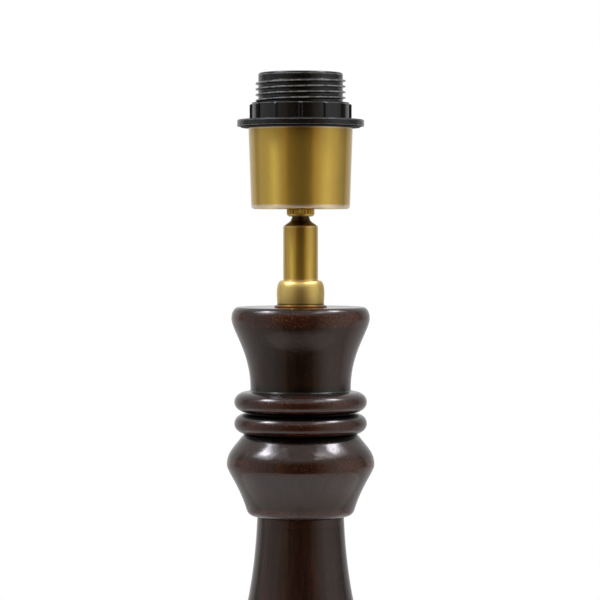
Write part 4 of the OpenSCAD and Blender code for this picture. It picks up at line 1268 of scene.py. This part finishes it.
def make_shade_ring():
    """Radius = the larger of the outline and collar plus rib height, times a window round and up. Under
    the flange the finish is as dull as in a hollow."""
    rows = rows_of(soften(np.array(ring_outline), 0.1), every_mm=0.3, near=RUBBED_LINE)
    offsets = np.array(RIB_OFFSETS)
    one = np.unique(np.concatenate([-offsets, offsets, [180 / RIBS]]))
    angle = np.radians((np.arange(RIBS)[:, None] * 360 / RIBS + one).ravel())
    from_rib = np.abs(np.tile(one, RIBS))
    r, z, worn = rows[:, 0:1], rows[:, 1:2], rows[:, 3:4]
    round_window = smooth(share(from_rib, RIB_HALF_DEG + RIB_EDGE_DEG, RIB_HALF_DEG - RIB_EDGE_DEG))
    up_window = smooth(share(z, *RIB_TOP[::-1]))
    rib = COLLAR_R + (RIB_R - COLLAR_R) * round_window * up_window
    outer = r > OUTER_FROM_R
    radius = np.where(outer & (z > RIB_FOOT), np.maximum(r, rib), r)
    # The outer edges get grey scuffs and a painted highlight, and under the flange it is dull.
    bend = RING_SCUFF_AND_HIGHLIGHT * worn * outer - share(FLANGE_LOW - z, -0.1, 0.1)
    return make_piece("shade_ring_moulding", skin(revolve(rows, angle, radius), rows[:, 2], bend))


stand_for(make_shade_ring(), "shade_ring", black_plastic)

# %% [markdown]
# ## Inside the socket
# Looking down into the socket one sees the brass screw shell with its round thread, and the sprung
# centre contact in its floor. The shell is rolled from thin sheet, so its thread shows on both faces.
# The contact spring shortens when a bulb presses the contact down.

# %% Make the screw shell, the centre contact and its spring
SHELL_R = 13.45
SHELL_DEPTH = 1.25
SHELL_SHEET = 0.45
SHELL_PITCH = 3.62
SHELL_START = 407.6
SHELL_WALL = (402.9, 425.3)
SHELL_FULL = (405.4, 423.0)
SHELL_FADE = 2.4
SHELL_LOW = 402.2
SHELL_TOP = 425.8
STRIP_STEP = 0.2


def shell_wave(radius):
    """The plain radius less the depth times a raised cosine of the place in the turn."""
    return lambda h, strength: radius - SHELL_DEPTH * strength * (0.5 + 0.5 * np.cos(2 * np.pi * h))


def shell_end(wall_end, end):
    """The plain end of the shell: a strip of wall along its inside, over its edge and back outside."""
    inner, outer = SHELL_R, SHELL_R + SHELL_SHEET
    points = [(inner, wall_end), (inner, end), (outer, end), (outer, wall_end)]
    rows = even_steps(np.array(points), STRIP_STEP, False)
    return skin(revolve(rows, angles()), np.arange(len(rows)) * STRIP_STEP, closed=False)


shell = make_piece(
    "screw_shell_rolling",
    *(
        thread_wall(shell_wave(r), SHELL_PITCH, SHELL_START, SHELL_WALL, SHELL_FULL, SHELL_FADE)
        for r in (SHELL_R, SHELL_R + SHELL_SHEET)
    ),
    shell_end(SHELL_WALL[1], SHELL_TOP),
    shell_end(SHELL_WALL[0], SHELL_LOW),
)
stand_for(shell, "screw_shell", plain_brass)

contact_outline = (
    arc((0, 405.6), (3.4, 0.9), 90, 0),
    [(3.4, 404.4), (1.6, 404.4), (1.6, 393.3), (2.6, 393.3), (2.6, 391.9), (0, 391.9)],
)
contact = turned("centre_contact_turning", contact_outline, 0.08, closed=False, columns=64)
stand_for(contact, "centre_contact", plain_brass)

COIL_R = 2.1
WIRE_R = 0.3
COIL_TURNS = 6
COIL_LOW, COIL_HIGH = 394.5, 404.1


def coil():
    """A wire carried along a helix: middle (R cos a, R sin a, z), plus w cos b outwards and w sin b up
    across the helix. The first and last ring are closed with a rounded cap of shrinking rings."""
    a = np.linspace(0, 2 * np.pi * COIL_TURNS, COIL_TURNS * 36 + 1)
    b = angles(12)
    end = np.minimum(np.arange(len(a)), np.arange(len(a))[::-1])
    w = WIRE_R * np.sqrt(1 - np.clip(1 - end / 2, 0, 1) ** 2)
    slope = (COIL_HIGH - COIL_LOW) / (2 * np.pi * COIL_TURNS * COIL_R)
    out = np.stack([np.cos(a), np.sin(a), 0 * a], axis=-1)[:, None]
    up = np.stack([slope * np.sin(a), -slope * np.cos(a), 0 * a + 1], axis=-1)[:, None] / np.hypot(1, slope)
    middle = COIL_R * out
    middle[:, 0, 2] = np.linspace(COIL_LOW, COIL_HIGH, len(a))
    grid = middle + w[:, None, None] * (np.cos(b)[:, None] * out + np.sin(b)[:, None] * up)
    return skin(grid, a * COIL_R, closed=False)


spring = make_piece("contact_spring_wire", coil())
stand_for(spring, "contact_spring", spring_steel)
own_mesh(spring)

# %% [markdown]
# ## Pieces inside
# Nuts, washers, the weight, the threaded tube, the terminals and their strips hide inside the lamp. Their
# measured shapes are already right, so they keep them and only take the finish of their material. The
# porcelain block does too: only its walls show, deep in the socket.

# %% Give the pieces inside their finish
INSIDE = {
    "dark_timber": timbers["column"], "satin_brass": plain_brass, "plain_brass": plain_brass,
    "black_plastic": black_plastic, "white_porcelain": white_porcelain, "zinc_steel": zinc_steel,
    "spring_steel": spring_steel, "green_black_felt": green_black_felt,
}
kept = [node for node in frame["nodes"] if node not in replaced]
for node in kept:
    piece = frame["nodes"][node]
    piece.data.materials.clear()
    piece.data.materials.append(INSIDE[SLOT_OF[node]])
print("measured pieces that keep their shape:", ", ".join(sorted(kept)))
